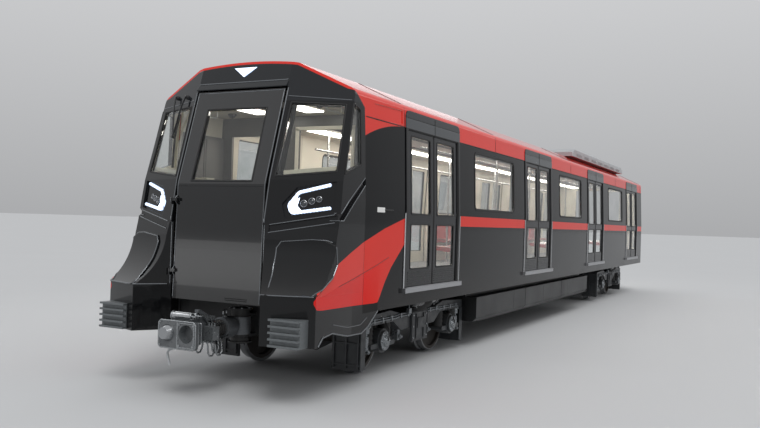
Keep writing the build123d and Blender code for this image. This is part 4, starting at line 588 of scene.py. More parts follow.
# a way is the x that a shape starts from, and the signs that its x and y are multiplied by
ALONE = ((0, 1, 1),)
MIRRORED = [(0, 1, side) for side in SIDES]
CORNERS = [(0, hand, side) for side in SIDES for hand in (-1, 1)]
DOORWAYS = [(x, 1, side) for side in SIDES for x in DOOR_XS]
LEAVES = [(x, hand, side) for side in SIDES for x in DOOR_XS for hand in (-1, 1)]


def box_into(bm, low, high):
    """Adds a box between two corners."""
    low, high = Vector(low), Vector(high)
    size = Vector([abs(value) for value in high - low])
    place = Matrix.Translation((low + high) / 2) @ Matrix.Diagonal((*size, 1))
    bmesh.ops.create_cube(bm, size=1, matrix=place)


def ring(bm, centre, side, other, radius, sides):
    """Vertices on a circle round a centre, whose plane is given by two directions."""
    return [bm.verts.new(centre + (side * math.cos(turn) + other * math.sin(turn)) * radius)
            for turn in (2 * math.pi * step / sides for step in range(sides))]


def close_rings(bm, rings, *ends):
    """Adds the faces between rings and over their ends. A ring may be a single vertex."""
    for first, second in zip(rings, rings[1:]):
        count = max(len(first), len(second))
        for step in range(count):
            after = (step + 1) % count
            corners = dict.fromkeys((first[step % len(first)], first[after % len(first)],
                                     second[after % len(second)], second[step % len(second)]))
            if len(corners) > 2:
                bm.faces.new(list(corners))
    for end_ring in ends:
        if len(end_ring) > 1:
            bm.faces.new(end_ring)


def bar_into(bm, points, radius, sides=8):
    """Adds a round bar through points, closed at both ends."""
    points = [Vector(point) for point in points]
    rings = []
    side = (points[1] - points[0]).orthogonal().normalized()
    for index, point in enumerate(points):
        forward = (points[min(index + 1, len(points) - 1)] - points[max(index - 1, 0)]).normalized()
        side = (side - forward * side.dot(forward)).normalized()
        rings.append(ring(bm, point, side, forward.cross(side), radius, sides))
    close_rings(bm, rings, rings[0][::-1], rings[-1])


def turned_into(bm, place, axis, profile, sides=24):
    """Adds a turned shape. profile lists (distance along the axis, radius) from end to end."""
    place, axis = Vector(place), Vector(axis).normalized()
    side = axis.orthogonal().normalized()
    rings = [ring(bm, place + axis * along, side, axis.cross(side), radius, sides if radius > 1e-6 else 1)
             for along, radius in profile]
    close_rings(bm, rings, rings[0], rings[-1])


def plate_into(bm, outline, thickness):
    """Adds a flat plate: outline points in order, thickness as a vector."""
    near = [bm.verts.new(Vector(point)) for point in outline]
    far = [bm.verts.new(Vector(point) + Vector(thickness)) for point in outline]
    bm.faces.new(near)
    bm.faces.new(far[::-1])
    for index, corner in enumerate(near):
        after = (index + 1) % len(near)
        bm.faces.new((corner, far[index], far[after], near[after]))


def shapes(rows, ways=ALONE):
    """A function that fills a bmesh with rows of shapes, once for each way.

    A row is a "box" with its low and high corner, a "bar" with its points, radius and sides, or a "turned"
    shape with its place, axis, profile and sides.
    """
    def fill(bm):
        for start_x, hand, side in ways:
            def there(point):
                return start_x + hand * point[0], side * point[1], point[2]
            for kind, first, second, *rest in rows:
                if kind == "box":
                    box_into(bm, there(first), there(second))
                elif kind == "bar":
                    bar_into(bm, [there(point) for point in first], second, *rest)
                else:
                    turned_into(bm, there(first), Vector(AXES[second]) * Vector((hand, side, 1)), *rest)
    return fill


def welded(name, sources):
    """A mesh out of meshes and of functions that fill a bmesh, with its faces pointing outwards."""
    bm = bmesh.new()
    for source in sources:
        if callable(source):
            source(bm)
        else:
            bm.from_mesh(source)
    bmesh.ops.remove_doubles(bm, verts=bm.verts, dist=1e-5)
    bmesh.ops.recalc_face_normals(bm, faces=bm.faces)
    mesh = bpy.data.meshes.new(name)
    bm.to_mesh(mesh)
    bm.free()
    return mesh


def keep(name, look, *sources, body="carbody", round_mm=0):
    """Makes a piece from its sources with its look's material, and lets it ride on a body. The look's slot is
    unused.
    """
    mesh = welded(name, sources)
    mesh.materials.clear()
    mesh.materials.append(look[0])
    mesh.shade_smooth()
    mesh.set_sharp_from_angle(angle=SMOOTH_ANGLE)
    piece = new_object(name, mesh)
    if round_mm:
        rounding = piece.modifiers.new("rounded edges", "BEVEL")
        rounding.width = round_mm / 1000
        rounding.segments = 2
        rounding.limit_method = "ANGLE"
        rounding.harden_normals = True
    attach(piece, body)
    return piece


def keep_all(pieces, body="carbody", at_x=0.0, ending=""):
    """Keeps a table of pieces. Each has its look, rounding in mm, ways and rows of shapes."""
    for name, (look, round_mm, ways, rows) in pieces.items():
        placed = [(at_x + x, hand, side) for x, hand, side in ways]
        keep(name + ending, look, shapes(rows, placed), body=body, round_mm=round_mm)
    print("pieces made:", ", ".join(pieces))


# %% [markdown]
# Geometry Nodes for what repeats
#
# The car carries the same small thing many times: rubber seals round panes, grooves in kick panels, treads
# and bolts. Each kind is one node tree. Its points come in as a mesh, its sizes are named inputs, and it ends
# in Realize Instances and Set Material, because the export keeps only real geometry. grow() runs a tree once
# and returns the result as a plain mesh.

# %% Helpers for node trees
FLOAT, WHOLE, VECTOR, MATERIAL = [f"NodeSocket{kind}" for kind in ("Float", "Int", "Vector", "Material")]
INSTANCES, TRANSFORM = "GeometryNodeInstanceOnPoints", "GeometryNodeTransform"
RECTANGLE = "GeometryNodeCurvePrimitiveQuadrilateral"


def new_tree(name, inputs):
    """A modifier tree and its inputs. inputs gives the socket type of each, and Material comes by itself."""
    tree = bpy.data.node_groups.new(name, "GeometryNodeTree")
    tree.is_modifier = True
    tree.interface.new_socket("Geometry", in_out="OUTPUT", socket_type="NodeSocketGeometry")
    for label, kind in {"Geometry": "NodeSocketGeometry", **inputs, "Material": MATERIAL}.items():
        tree.interface.new_socket(label, in_out="INPUT", socket_type=kind)
    return tree, add_node(tree, "NodeGroupInput").outputs


def end_tree(tree, given, thing):
    """Sets the thing on every point, makes it real, gives it its material and closes the tree."""
    placed = add_node(tree, INSTANCES, Points=given["Geometry"], Instance=thing)
    real = add_node(tree, "GeometryNodeRealizeInstances", placed)
    painted = add_node(tree, "GeometryNodeSetMaterial", Geometry=real, Material=given["Material"])
    add_node(tree, "NodeGroupOutput", painted)


def baked(host):
    """The host's mesh with its modifiers applied. The host itself is removed."""
    made = bpy.data.meshes.new_from_object(host.evaluated_get(bpy.context.evaluated_depsgraph_get()))
    host.modifiers.clear()
    bpy.data.objects.remove(host)
    return made


def grow(tree, points, material, values):
    """Runs a tree on loose points and returns the result as a plain mesh."""
    mesh = bpy.data.meshes.new("points")
    mesh.from_pydata([tuple(point) for point in points], [], [])
    host = new_object("host", mesh)
    modifier = host.modifiers.new("nodes", "NODES")
    modifier.node_group = tree
    values = {**values, "Material": material}
    for item in tree.interface.items_tree:
        if item.in_out == "INPUT" and item.name in values:
            modifier[item.identifier] = values[item.name]
    return baked(host)


# %% [markdown]
# The first tree draws a rounded frame, such as a rubber seal, at every point. A rectangle is a curve. Fillet
# Curve rounds its corners, and Curve to Mesh sweeps a small bar along it. It stands upright, along the car,
# and leans with the side by one angle.

# %% Tree: rounded frames
frames_tree, given = new_tree("rounded_frames", {
    "Width": FLOAT, "Height": FLOAT, "Corner radius": FLOAT, "Bar width": FLOAT, "Bar depth": FLOAT,
    "Lean": FLOAT})
outline = add_node(frames_tree, RECTANGLE, Width=given["Width"], Height=given["Height"])
outline = add_node(frames_tree, ("GeometryNodeFilletCurve", {"mode": "POLY"}),
                   Curve=outline, Radius=given["Corner radius"], Count=5)
bar = add_node(frames_tree, RECTANGLE, Width=given["Bar width"], Height=given["Bar depth"])
swept = add_node(frames_tree, "GeometryNodeCurveToMesh", outline, bar)
upright = add_node(frames_tree, PLUS, given["Lean"], math.pi / 2)
turn = add_node(frames_tree, UNITE, upright)
end_tree(frames_tree, given, add_node(frames_tree, TRANSFORM, Geometry=swept, Rotation=turn))

# %% [markdown]
# The second tree sets a row of equal bars at every point: grooves, treads, slots and ribs. Mesh Line makes
# the row, with the step between two bars as a vector.

# %% Tree: rows of bars
rows_tree, given = new_tree("bar_rows", {"Bar size": VECTOR, "Count": WHOLE, "Step": VECTOR})
block = add_node(rows_tree, "GeometryNodeMeshCube", Size=given["Bar size"])
line = add_node(rows_tree, ("GeometryNodeMeshLine", {"mode": "OFFSET"}),
                Count=given["Count"], Offset=given["Step"])
end_tree(rows_tree, given, add_node(rows_tree, INSTANCES, Points=line, Instance=block))

# %% [markdown]
# The third tree sets a ring of hexagon bolts at every point, as on a cover or a flange. Each point's index
# gives its angle on the ring, and a six-sided cylinder is the bolt's head. A bolt alone is a ring of one with
# no radius.

# %% Tree: bolt rings
bolts_tree, given = new_tree("bolt_rings", {
    "Count": WHOLE, "Ring radius": FLOAT, "Bolt radius": FLOAT, "Bolt height": FLOAT, "Turn": VECTOR})
head = add_node(bolts_tree, "GeometryNodeMeshCylinder",
                Vertices=6, Radius=given["Bolt radius"], Depth=given["Bolt height"])
steps = add_node(bolts_tree, "GeometryNodePoints", Count=given["Count"])
index = add_node(bolts_tree, "GeometryNodeInputIndex")
share = add_node(bolts_tree, SHARE, index, given["Count"])
angle = add_node(bolts_tree, TIMES, share, 2 * math.pi)
place = add_node(bolts_tree, UNITE, add_node(bolts_tree, COSINE, angle), add_node(bolts_tree, SINE, angle))
place = add_node(bolts_tree, V_SCALE, place, given["Ring radius"])
bolts = add_node(bolts_tree, "GeometryNodeSetPosition", Geometry=steps, Position=place)
bolts = add_node(bolts_tree, INSTANCES, Points=bolts, Instance=head)
end_tree(bolts_tree, given, add_node(bolts_tree, TRANSFORM, Geometry=bolts, Rotation=given["Turn"]))
print("node trees:", len(bpy.data.node_groups))

# %% [markdown]
# Finding the car's skin
#
# Trims lie on raked and curved faces. Instead of working out each face, a ray is shot at the CAD node from
# the front, from one side or from above, and the trim goes where it lands. trace() does that along a line,
# with a point every few centimetres, so a bar that follows it hugs the surface.

# %% Helpers for the skin
# where the ray of each view starts and where it goes, for a point (across, height) of that view
VIEWS = {
    "front": lambda across, height, side: ((12, side * across, height), (-1, 0, 0)),
    "side": lambda across, height, side: ((across, side * 3, height), (0, -side, 0)),
    "top": lambda across, height, side: ((across, side * height, 6), (0, 0, -1)),
}


def skin_of(*names):
    """A search tree over the faces of CAD nodes."""
    corners, faces = [], []
    for name in names:
        mesh = nodes[name].data
        shift = len(corners)
        corners += [vertex.co.copy() for vertex in mesh.vertices]
        faces += [[shift + index for index in face.vertices] for face in mesh.polygons]
    return BVHTree.FromPolygons(corners, faces)


def hit(skin, view, across, height, side=1, proud=0.0):
    """The point of a skin that shows in a view, moved out by proud, and the way the skin faces there."""
    start, way = VIEWS[view](across, height, side)
    place, normal, _, _ = skin.ray_cast(Vector(start), Vector(way))
    return place + normal * proud, normal


def trace(skin, view, points, side=1, proud=0.0, step=0.05):
    """Points of a skin along a line of (across, height) points, one at every step."""
    line = []
    for first, last in zip(points, points[1:]):
        first, last = Vector(first), Vector(last)
        count = max(1, math.ceil((last - first).length / step))
        line += [first.lerp(last, index / count) for index in range(count)]
    return [hit(skin, view, *point, side, proud)[0] for point in [*line, points[-1]]]


def keep_lines(name, look, skin, view, lines, radius, proud=0.001, sides=8, body="carbody", hands=SIDES,
               step=0.05):
    """Keeps a piece made of bars that lie on a skin, one along each line, on one side or on both."""
    def fill(bm):
        for side in hands:
            for points in lines:
                bar_into(bm, trace(skin, view, points, side, proud, step), radius, sides)
    keep(name, look, fill, body=body)


MASK = skin_of("front_mask", "front_skirts")
WINDSCREENS = skin_of("windscreens")
FRONT_DOOR = skin_of("front_door")
SIDES_SKIN = skin_of("side_wall_left", "side_wall_right", "front_mask", "front_skirts", "roof")

# %% [markdown]
# Painted highlights of the nose
#
# The gelcoat panels of the nose end in rounded, polished edges, and each of them catches a thin line of
# light.
# That light is painted: slim bars of light grey metal follow the panels and draw it, round the cheek panels,
# along the belt channel, beside the door, along the brow and the visor, and where the chin meets the skirt.

# %% Nose edge highlights, painted as bars
# the bars of this look are painted highlights along rounded edges, not pieces of the car
EDGE = (HIGHLIGHT_METAL, "black_gloss")
RUBBER = (EPDM, "rubber")
# each line below is a bar that draws the painted highlight of one rounded edge
NOSE_LINES = {
    "cheek_edge_highlights": ("front", 0.007, ((0.899, 1.15), (0.830, 1.434), (0.816, 1.617), (0.855, 1.683),
                                    (1.164, 1.714), (1.30, 1.708), (1.365, 1.690))),
    "belt_highlights_low": ("front", 0.006, ((0.70, 1.772), (1.352, 1.896))),
    "belt_highlights_high": ("front", 0.006, ((0.70, 1.856), (1.345, 1.980))),
    "door_jamb_highlights": ("front", 0.007, ((0.641, 1.15), (0.641, 3.37))),
    "brow_highlights": ("front", 0.006, ((0.66, 3.277), (1.33, 3.236))),
    "chin_highlights": ("front", 0.008, ((0.66, 1.147), (1.385, 1.147))),
    "cheek_side_highlights": ("side", 0.007, ((9.392, 1.645), (9.362, 1.457), (9.45, 1.328), (9.61, 1.238),
                                        (9.765, 1.15))),
    "belt_side_highlights_low": ("side", 0.006, ((9.352, 1.918), (9.246, 1.918), (9.046, 2.099), (8.775, 2.318))),
    "belt_side_highlights_high": ("side", 0.006, ((9.34, 1.997), (9.295, 1.997), (9.124, 2.147), (8.775, 2.404))),
    "skirt_lip_highlights": ("side", 0.009, ((8.40, 0.90), (8.622, 0.745), (8.78, 0.684), (9.09, 0.688), (9.408, 0.75),
                                   (9.595, 0.724), (9.68, 0.64))),
    "skirt_crease_highlights": ("side", 0.005, ((8.66, 0.845), (8.80, 0.780), (9.09, 0.780), (9.40, 0.840))),
}
for name, (view, radius, points) in NOSE_LINES.items():
    keep_lines(name, EDGE, MASK, view, [points], radius)
# the visor's lower edge gets the same painted highlight
keep_lines("visor_highlight", EDGE, MASK, "front", [((-0.62, 3.466), (0.62, 3.466))], 0.008, hands=(1,))
print("highlight_bars of the nose:", len(NOSE_LINES) + 1)

# %% [markdown]
# Rubber of the nose
#
# Windscreens, quarter windows and the door's pane are bonded in with black rubber. It is matt, so it makes
# the glossy panels beside it look glossier. The door also has a painted highlight along its rounded edge,
# drawn by a bar of light grey metal, and a knee line and a slotted foot, all of which ride on the door.

# %% Nose rubbers
WINDSCREEN_EDGE = ((0.703, 3.204), (0.687, 2.373), (1.312, 2.439), (1.282, 3.184), (0.703, 3.204))
QUARTER_EDGE = ((9.019, 3.200), (8.877, 3.148), (8.866, 2.542), (9.221, 2.418), (9.019, 3.200))
DOOR_PANE_EDGE = ((-0.420, 2.318), (0.420, 2.318), (0.412, 3.152), (-0.412, 3.152), (-0.420, 2.318))
DOOR_EDGE = ((-0.598, 1.005), (-0.598, 3.352), (0.598, 3.352), (0.598, 1.005))
DOOR_KNEE = ((-0.59, 2.262), (0.59, 2.262))
FOOT_SLOTS = [((0.14, z), (0.43, z)) for z in (1.02, 1.04)]
ON_DOOR = {"body": "front_door", "hands": (1,)}

keep_lines("windscreen_seals", RUBBER, MASK, "front", [WINDSCREEN_EDGE], 0.010, -0.002)
keep_lines("quarter_window_seals", RUBBER, MASK, "side", [QUARTER_EDGE], 0.011, -0.002)
keep_lines("front_door_pane_seal", RUBBER, FRONT_DOOR, "front", [DOOR_PANE_EDGE], 0.011, -0.002, **ON_DOOR)
# a bar of light grey metal draws the painted highlight along the door's rounded edge
keep_lines("front_door_edge_highlight", EDGE, FRONT_DOOR, "front", [DOOR_EDGE], 0.007, -0.001, **ON_DOOR)
keep_lines("front_door_knee_line", RUBBER, FRONT_DOOR, "front", [DOOR_KNEE], 0.004, 0.0, 6, **ON_DOOR)
keep_lines("front_door_foot_slot", RUBBER, FRONT_DOOR, "front", FOOT_SLOTS, 0.006, 0.0, 6, **ON_DOOR)

# %% [markdown]
# Wiper
#
# The windscreen on the car's right has a pantograph wiper. Two arms turn on pivots above the glass and meet
# the blade's holder, so the blade stays upright as it sweeps. Arms stand 35 mm off the glass, the rubber
# touches it.

# %% Wiper
WIPER_PIVOTS = ((-1.060, 3.345), (-0.830, 3.330))
WIPER_JOINT = (-0.925, 2.840)
WIPER_BLADE = ((-0.925, 3.130), (-0.915, 2.840), (-0.800, 2.470))
GLASS_OUT = hit(WINDSCREENS, "front", -0.95, 2.8)[1]
WIPER_STEEL = (WIPER_BLACK, "dark_steel")


def off_glass(y, z, away):
    """A point this far in front of the windscreen at y and z."""
    return hit(WINDSCREENS, "front", y, z)[0] + GLASS_OUT * away


def wiper_arms(bm):
    joint = off_glass(*WIPER_JOINT, 0.040)
    for y, z in WIPER_PIVOTS:
        pivot = hit(MASK, "front", y, z)[0]
        turned_into(bm, pivot - GLASS_OUT * 0.004, GLASS_OUT,
                    ((0, 0.026), (0.02, 0.026), (0.032, 0.018), (0.048, 0.018), (0.052, 0)), 20)
        start = pivot + GLASS_OUT * 0.038
        bar_into(bm, [start, start.lerp(joint, 0.25) + GLASS_OUT * 0.012, joint], 0.010)
    turned_into(bm, joint - GLASS_OUT * 0.022, GLASS_OUT, ((0, 0.014), (0.034, 0.014), (0.036, 0)), 16)


def wiper_blade(bm):
    bar_into(bm, [off_glass(y, z, 0.022) for y, z in WIPER_BLADE], 0.007)
    (y0, z0), _, (y1, z1) = WIPER_BLADE
    for share in (0.12, 0.38, 0.62, 0.88):
        y, z = y0 + (y1 - y0) * share ** 2, z0 + (z1 - z0) * share
        bar_into(bm, [off_glass(y, z - 0.03, 0.012), off_glass(y, z, 0.026), off_glass(y, z + 0.03, 0.012)],
                 0.006, 6)


def wiper_rubber(bm):
    bar_into(bm, [off_glass(y, z, 0.007) for y, z in WIPER_BLADE], 0.006, 6)


keep("wiper_arms", WIPER_STEEL, wiper_arms)
keep("wiper_blade", WIPER_STEEL, wiper_blade)
keep("wiper_rubber", RUBBER, wiper_rubber)

# %% [markdown]
# Headlamp modules
#
# Beside the light strip sit the headlamp's projectors: round dark lenses in chromed rings. A lens is a turned
# dome, so it catches the light as glass does. In the strip's bend the light is brightest, behind a lens that
# fills the corner.

# %% Headlamp modules
LAMP_MODULES = ((1.010, 2.088, 0.030), (1.088, 2.116, 0.028), (1.160, 2.138, 0.024))
BEND_LENS = ((0.893, 2.108), (0.880, 2.068), (0.905, 2.004), (0.990, 2.016), (0.945, 2.062), (0.960, 2.150))
LENS_DARK = finish("projector_lens", "1a2128", "242c34", 0.04, 12, wear=0.02, coat=1.0)
LENS_LIT = lamp("headlamp_bend_lens", "cfe2ff", 5.0)


def at_modules(profile_of, sunk):
    """A function that fills a bmesh with a turned shape at each projector, square to the mask there."""
    def fill(bm):
        for side in SIDES:
            for y, z, radius in LAMP_MODULES:
                place, out = hit(MASK, "front", y, z, side)
                turned_into(bm, place - out * sunk, out, profile_of(radius), 28)
    return fill


def bend_lenses(bm):
    for side in SIDES:
        out = hit(MASK, "front", 0.93, 2.06, side)[1]
        plate_into(bm, [hit(MASK, "front", y, z, side)[0] for y, z in BEND_LENS], out * 0.014)


module_rings = at_modules(lambda r: ((0, r + 0.008), (0.016, r + 0.008), (0.018, r + 0.003), (0.012, r),
                                     (0, r), (0, r + 0.008)), sunk=0.003)
module_lenses = at_modules(lambda r: ((0, r), (0.007, r * 0.94), (0.012, r * 0.7), (0.015, r * 0.35),
                                      (0.016, 0)), sunk=0.002)
keep("headlamp_module_rings", (CHROME, "polished_steel"), module_rings)
keep("headlamp_module_lenses", (LENS_DARK, "lamp_lens"), module_lenses)
keep("headlamp_bend_lenses", (LENS_LIT, "lamp_lens"), bend_lenses, round_mm=3)

# %% [markdown]
# Cab side
#
# Beside the cab window a small white plate holds the cab door's push button, with a dark grip slot behind
# it. Both sides have it. Where the mask meets the side wall, a sealed joint runs down the car, and a fold
# runs through the red blade. The fold's shade is painted on it as a thin dark red bar.

# %% Cab side fittings
GRIP_X0, GRIP_X1, GRIP_Z = 8.078, 8.300, 2.062
MASK_JOINT = ((8.765, 0.93), (8.765, 2.86))
BLADE_FOLD = ((8.15, 1.510), (8.465, 1.424), (8.997, 1.294), (9.30, 1.226))

keep_all({
    "cab_side_plates": ((WHITE_PAINT, "grey_paint"), 4, MIRRORED, [
        ("box", (8.292, HALF_W - 0.004, 2.032), (8.480, HALF_W + 0.006, 2.090))]),
    "cab_side_grips": (RUBBER, 0, MIRRORED, [
        ("bar", [(x, HALF_W + 0.001, GRIP_Z) for x in (GRIP_X0, GRIP_X1)], 0.012)]),
})
keep_lines("mask_joints", RUBBER, SIDES_SKIN, "side", [MASK_JOINT], 0.003, -0.002, 6)
# a thin dark red bar paints the shade in the blade's fold
keep_lines("blade_fold_shade_line", (CREASE_SHADE_RED, "red_paint"), SIDES_SKIN, "side", [BLADE_FOLD], 0.005, -0.001, 6)

# %% [markdown]
# Inside the cab
#
# The lit cab shows through the windscreens: a cream ceiling with a lamp, a black camera dome and a white grab
# handle, a beige ledge below each pane, and the desk with its screens, lever and buttons. Grey lockers with
# folded doors stand along both sides. The lamp is a real light source for the cab, as emission.

# %% Cab fittings
CAB_CEILING_Z = 3.250
SCREEN_GLASS = finish("screen_glass", "0c1016", "131a24", 0.06, 80, wear=0.02, coat=0.6)
CAB_LAMP_GLOW = lamp("cab_lamp_diffuser", "fffaf0", 7.0)
DARK_PARTS = (DARK_PLASTIC, "grey_plastic")
HANDLE = ((8.52, CAB_CEILING_Z), (8.52, 3.19), (8.55, 3.17), (8.86, 3.17), (8.89, 3.19),
          (8.89, CAB_CEILING_Z))
LOCKERS = ((7.955, 8.350), (8.360, 8.740))
DOME = ((-0.002, 0.055), (0.012, 0.055), (0.02, 0.045), (0.045, 0.03), (0.055, 0))
LEVER_KNOB = ((0, 0.012), (0.01, 0.024), (0.03, 0.026), (0.045, 0.016), (0.048, 0))
BUTTON = ((0, 0.014), (0.01, 0.014), (0.014, 0.010), (0.014, 0))
DOOR_KNOB = ((-0.002, 0.03), (0.012, 0.03), (0.02, 0.018), (0.05, 0.018), (0.055, 0.03), (0.075, 0.03),
             (0.08, 0.0))
LATCH = ((0, 0.018), (0.012, 0.018), (0.016, 0.011), (0.03, 0.011), (0.032, 0))


def cab_ledges(bm):
    behind = GLASS_OUT * 0.035
    for side in SIDES:
        low, high = [hit(WINDSCREENS, "front", y, z, side)[0] for y, z in ((0.735, 2.405), (1.275, 2.465))]
        plate_into(bm, [low - behind, high - behind, high - behind * 5, low - behind * 5], (0, 0, 0.045))


keep_all({
    "cab_lamps": ((CAB_LAMP_GLOW, "lamp_lens"), 3, MIRRORED, [
        ("box", (8.25, 0.25, CAB_CEILING_Z - 0.012), (8.95, 0.50, CAB_CEILING_Z + 0.001))]),
    "cab_camera_domes": (DARK_PARTS, 0, ALONE, [
        ("turned", (x, y, CAB_CEILING_Z), "-z", DOME, 24) for x, y in ((8.80, 0.78), (8.30, -0.85))]),
    "cab_grab_handles": ((WHITE_PAINT, "cream_plastic"), 0, MIRRORED, [
        ("bar", [(x, 0.92, z) for x, z in HANDLE], 0.013, 10)]),
})
keep("cab_window_ledges", (DESK_PLASTIC, "cream_plastic"), cab_ledges, round_mm=3)
keep_all({
    "cab_desk_screens": ((SCREEN_GLASS, "grey_plastic"), 4, MIRRORED, [
        ("box", (8.99, y - 0.12, 1.99), (9.03, y + 0.12, 2.17)) for y in (0.60, 0.90)]),
    "cab_desk_controls": (DARK_PARTS, 0, MIRRORED, [
        ("bar", [(8.86, 0.52, 1.95), (8.85, 0.52, 2.03)], 0.012),
        ("turned", (8.85, 0.52, 2.02), "z", LEVER_KNOB, 16),
        *[("turned", (8.82, 0.62 + 0.06 * step, 1.958), "z", BUTTON, 14) for step in range(6)]]),
    "partition_door_knob": (DARK_PARTS, 0, ALONE, [("turned", (7.941, -0.11, 2.36), "x", DOOR_KNOB, 20)]),
    "cab_side_lockers": ((LOCKER_GREY, "grey_plastic"), 5, MIRRORED, [
        *[("box", (x0, 1.245, 1.16), (x1, 1.275, 2.98)) for x0, x1 in LOCKERS],
        *[("box", (x0 + 0.03, 1.238, 1.20), (x1 - 0.03, 1.250, 2.94)) for x0, x1 in LOCKERS],
        ("turned", (8.32, 1.240, 2.05), "-y", LATCH, 16)]),
    "partition_door_posts": ((CREAM_GRP, "cream_plastic"), 4, ALONE, [
        *[("box", (7.938, y - 0.025, 1.13), (7.955, y + 0.025, 3.09)) for y in (-0.075, 0.745)],
        ("box", (7.938, -0.10, 3.062), (7.955, 0.77, 3.11))]),
})

# %% [markdown]
# The coupler
#
# An automatic coupler joins the cars by itself. Its head carries a guiding cone and pocket, two air cylinders
# lie across its top, and bent air pipes run back from it. A release lever hangs below. These fittings ride
# on the coupler, so they swing with it. The pipes are rigid steel, with tight bends, so they are bars with
# rounded corners. Behind it a folded sheet across the car keeps stones off the leading axle. That sheet and
# the bolts on the drums of the couplers' pivots stay on the car body.

# %% Coupler fittings
BARE_STEEL = finish("bare_steel", "a9acae", "8f9294", 0.3, 18, 1.0, 0.1)
ZINC_ROD = finish("zinc_plated_rod", "b9bcbe", "a8abad", 0.35, 30, 0.2)
HEAD_BOX_GREY = finish("head_box_grey", "6e7173", "606365", 0.32, metal=0.5, wear=0.15)
BARE = (BARE_STEEL, "cast_steel")
HEAD_RINGS = ((10.177, 0.245, 0.1415, 0.025), (10.060, 0.184, 0.1157, 0.005), (9.965, 0.142, 0.1079, 0.005))
FACE_BOLTS = ((0.03, 0.583), (0.21, 0.583), (0.21, 0.797), (0.03, 0.797), (-0.225, 0.572), (-0.225, 0.81))
BOLT_HEAD = ((0, 0.012), (0.008, 0.012), (0.012, 0.007), (0.012, 0))
BOX_CAP = ((0, 0.016), (0.018, 0.016), (0.022, 0.010), (0.040, 0.010), (0.042, 0))
CYLINDER_Z, CYLINDERS = 0.8615, ((9.930, -0.262), (10.010, -0.202))
BAND = ((-0.007, 0.0375), (-0.007, 0.042), (0.007, 0.042), (0.007, 0.0375))
CYLINDER_NOSE = ((0, 0.022), (0.016, 0.022), (0.018, 0.013), (0.045, 0.013), (0.047, 0))
PIPE_NUT = ((0, 0.019), (0.022, 0.019), (0.024, 0.013), (0.04, 0.013))
PIPE_LANES = (-0.135, -0.075, 0.095, 0.150, 0.200)
# valves: place, axis and radius
VALVES = (((9.83, 0.135, 0.70), "z", 0.034), ((9.76, 0.125, 0.69), "z", 0.028),
          ((9.83, -0.16, 0.68), "z", 0.032), ((9.70, -0.09, 0.66), "y", 0.022),
          ((9.845, 0.19, 0.64), "x", 0.024))
VALVE = ((0, 0.6), (0.5, 0.6), (0.5, 1), (1.6, 1), (1.6, 0.7), (2.1, 0.7), (2.3, 0.3), (2.3, 0))
SHANK_RING = ((-0.013, 0.074), (-0.009, 0.094), (0, 0.099), (0.009, 0.094), (0.013, 0.074))
EYE_X, EYE_Z, EYE_R = 9.400, 0.854, 0.032
REAR_PIVOT_X, DRUM_TOP_Z = -9.150, 0.890
EYE_BASE = ((0, 0.026), (0.010, 0.026), (0.014, 0.014), (0.018, 0.014))


def rectangle(low, high):
    """The closed line round two corners."""
    (a0, b0), (a1, b1) = low, high
    return (a0, b0), (a1, b0), (a1, b1), (a0, b1), (a0, b0)


def head_ring(x, half, high, cut):
    """A rectangle with cut corners round the coupler's head."""
    z0, z1 = COUPLER_Z - high, COUPLER_Z + high
    return [(x, y, z) for y, z in (
        (-half, z0 + cut), (-half, z1 - cut), (-half + cut, z1), (half - cut, z1), (half, z1 - cut),
        (half, z0 + cut), (half - cut, z0), (-half + cut, z0), (-half, z0 + cut))]


def air_pipe(index, y):
    """One of the bent pipes below the head. Every third hangs as low."""
    low, back = 0.020 * (index % 3), 9.60 - 0.04 * index
    return [(9.882, y, 0.60), (9.835, y, 0.595), (9.80, y, 0.565), (9.785, y, 0.50 - low),
            (9.755, y, 0.465 - low), (9.715, y, 0.465 - low), (9.685, y, 0.50 - low), (9.67, y * 0.9, 0.565),
            (9.64, y * 0.7, 0.60), (back, y * 0.45, 0.62)]


def circle(step_count):
    """Sine and cosine of equal steps round a circle, and of the first step again."""
    turns = [2 * math.pi * step / step_count for step in range(step_count + 1)]
    return [(math.sin(turn), math.cos(turn)) for turn in turns]


FACE_FRAME = [(COUPLER_FACE_X + 0.001, y, z) for y, z in rectangle((0.012, 0.565), (0.228, 0.815))]
EYE = [(EYE_X, 0, 0.805), *[(EYE_X + EYE_R * s, 0, EYE_Z - EYE_R * c) for s, c in circle(16)]]


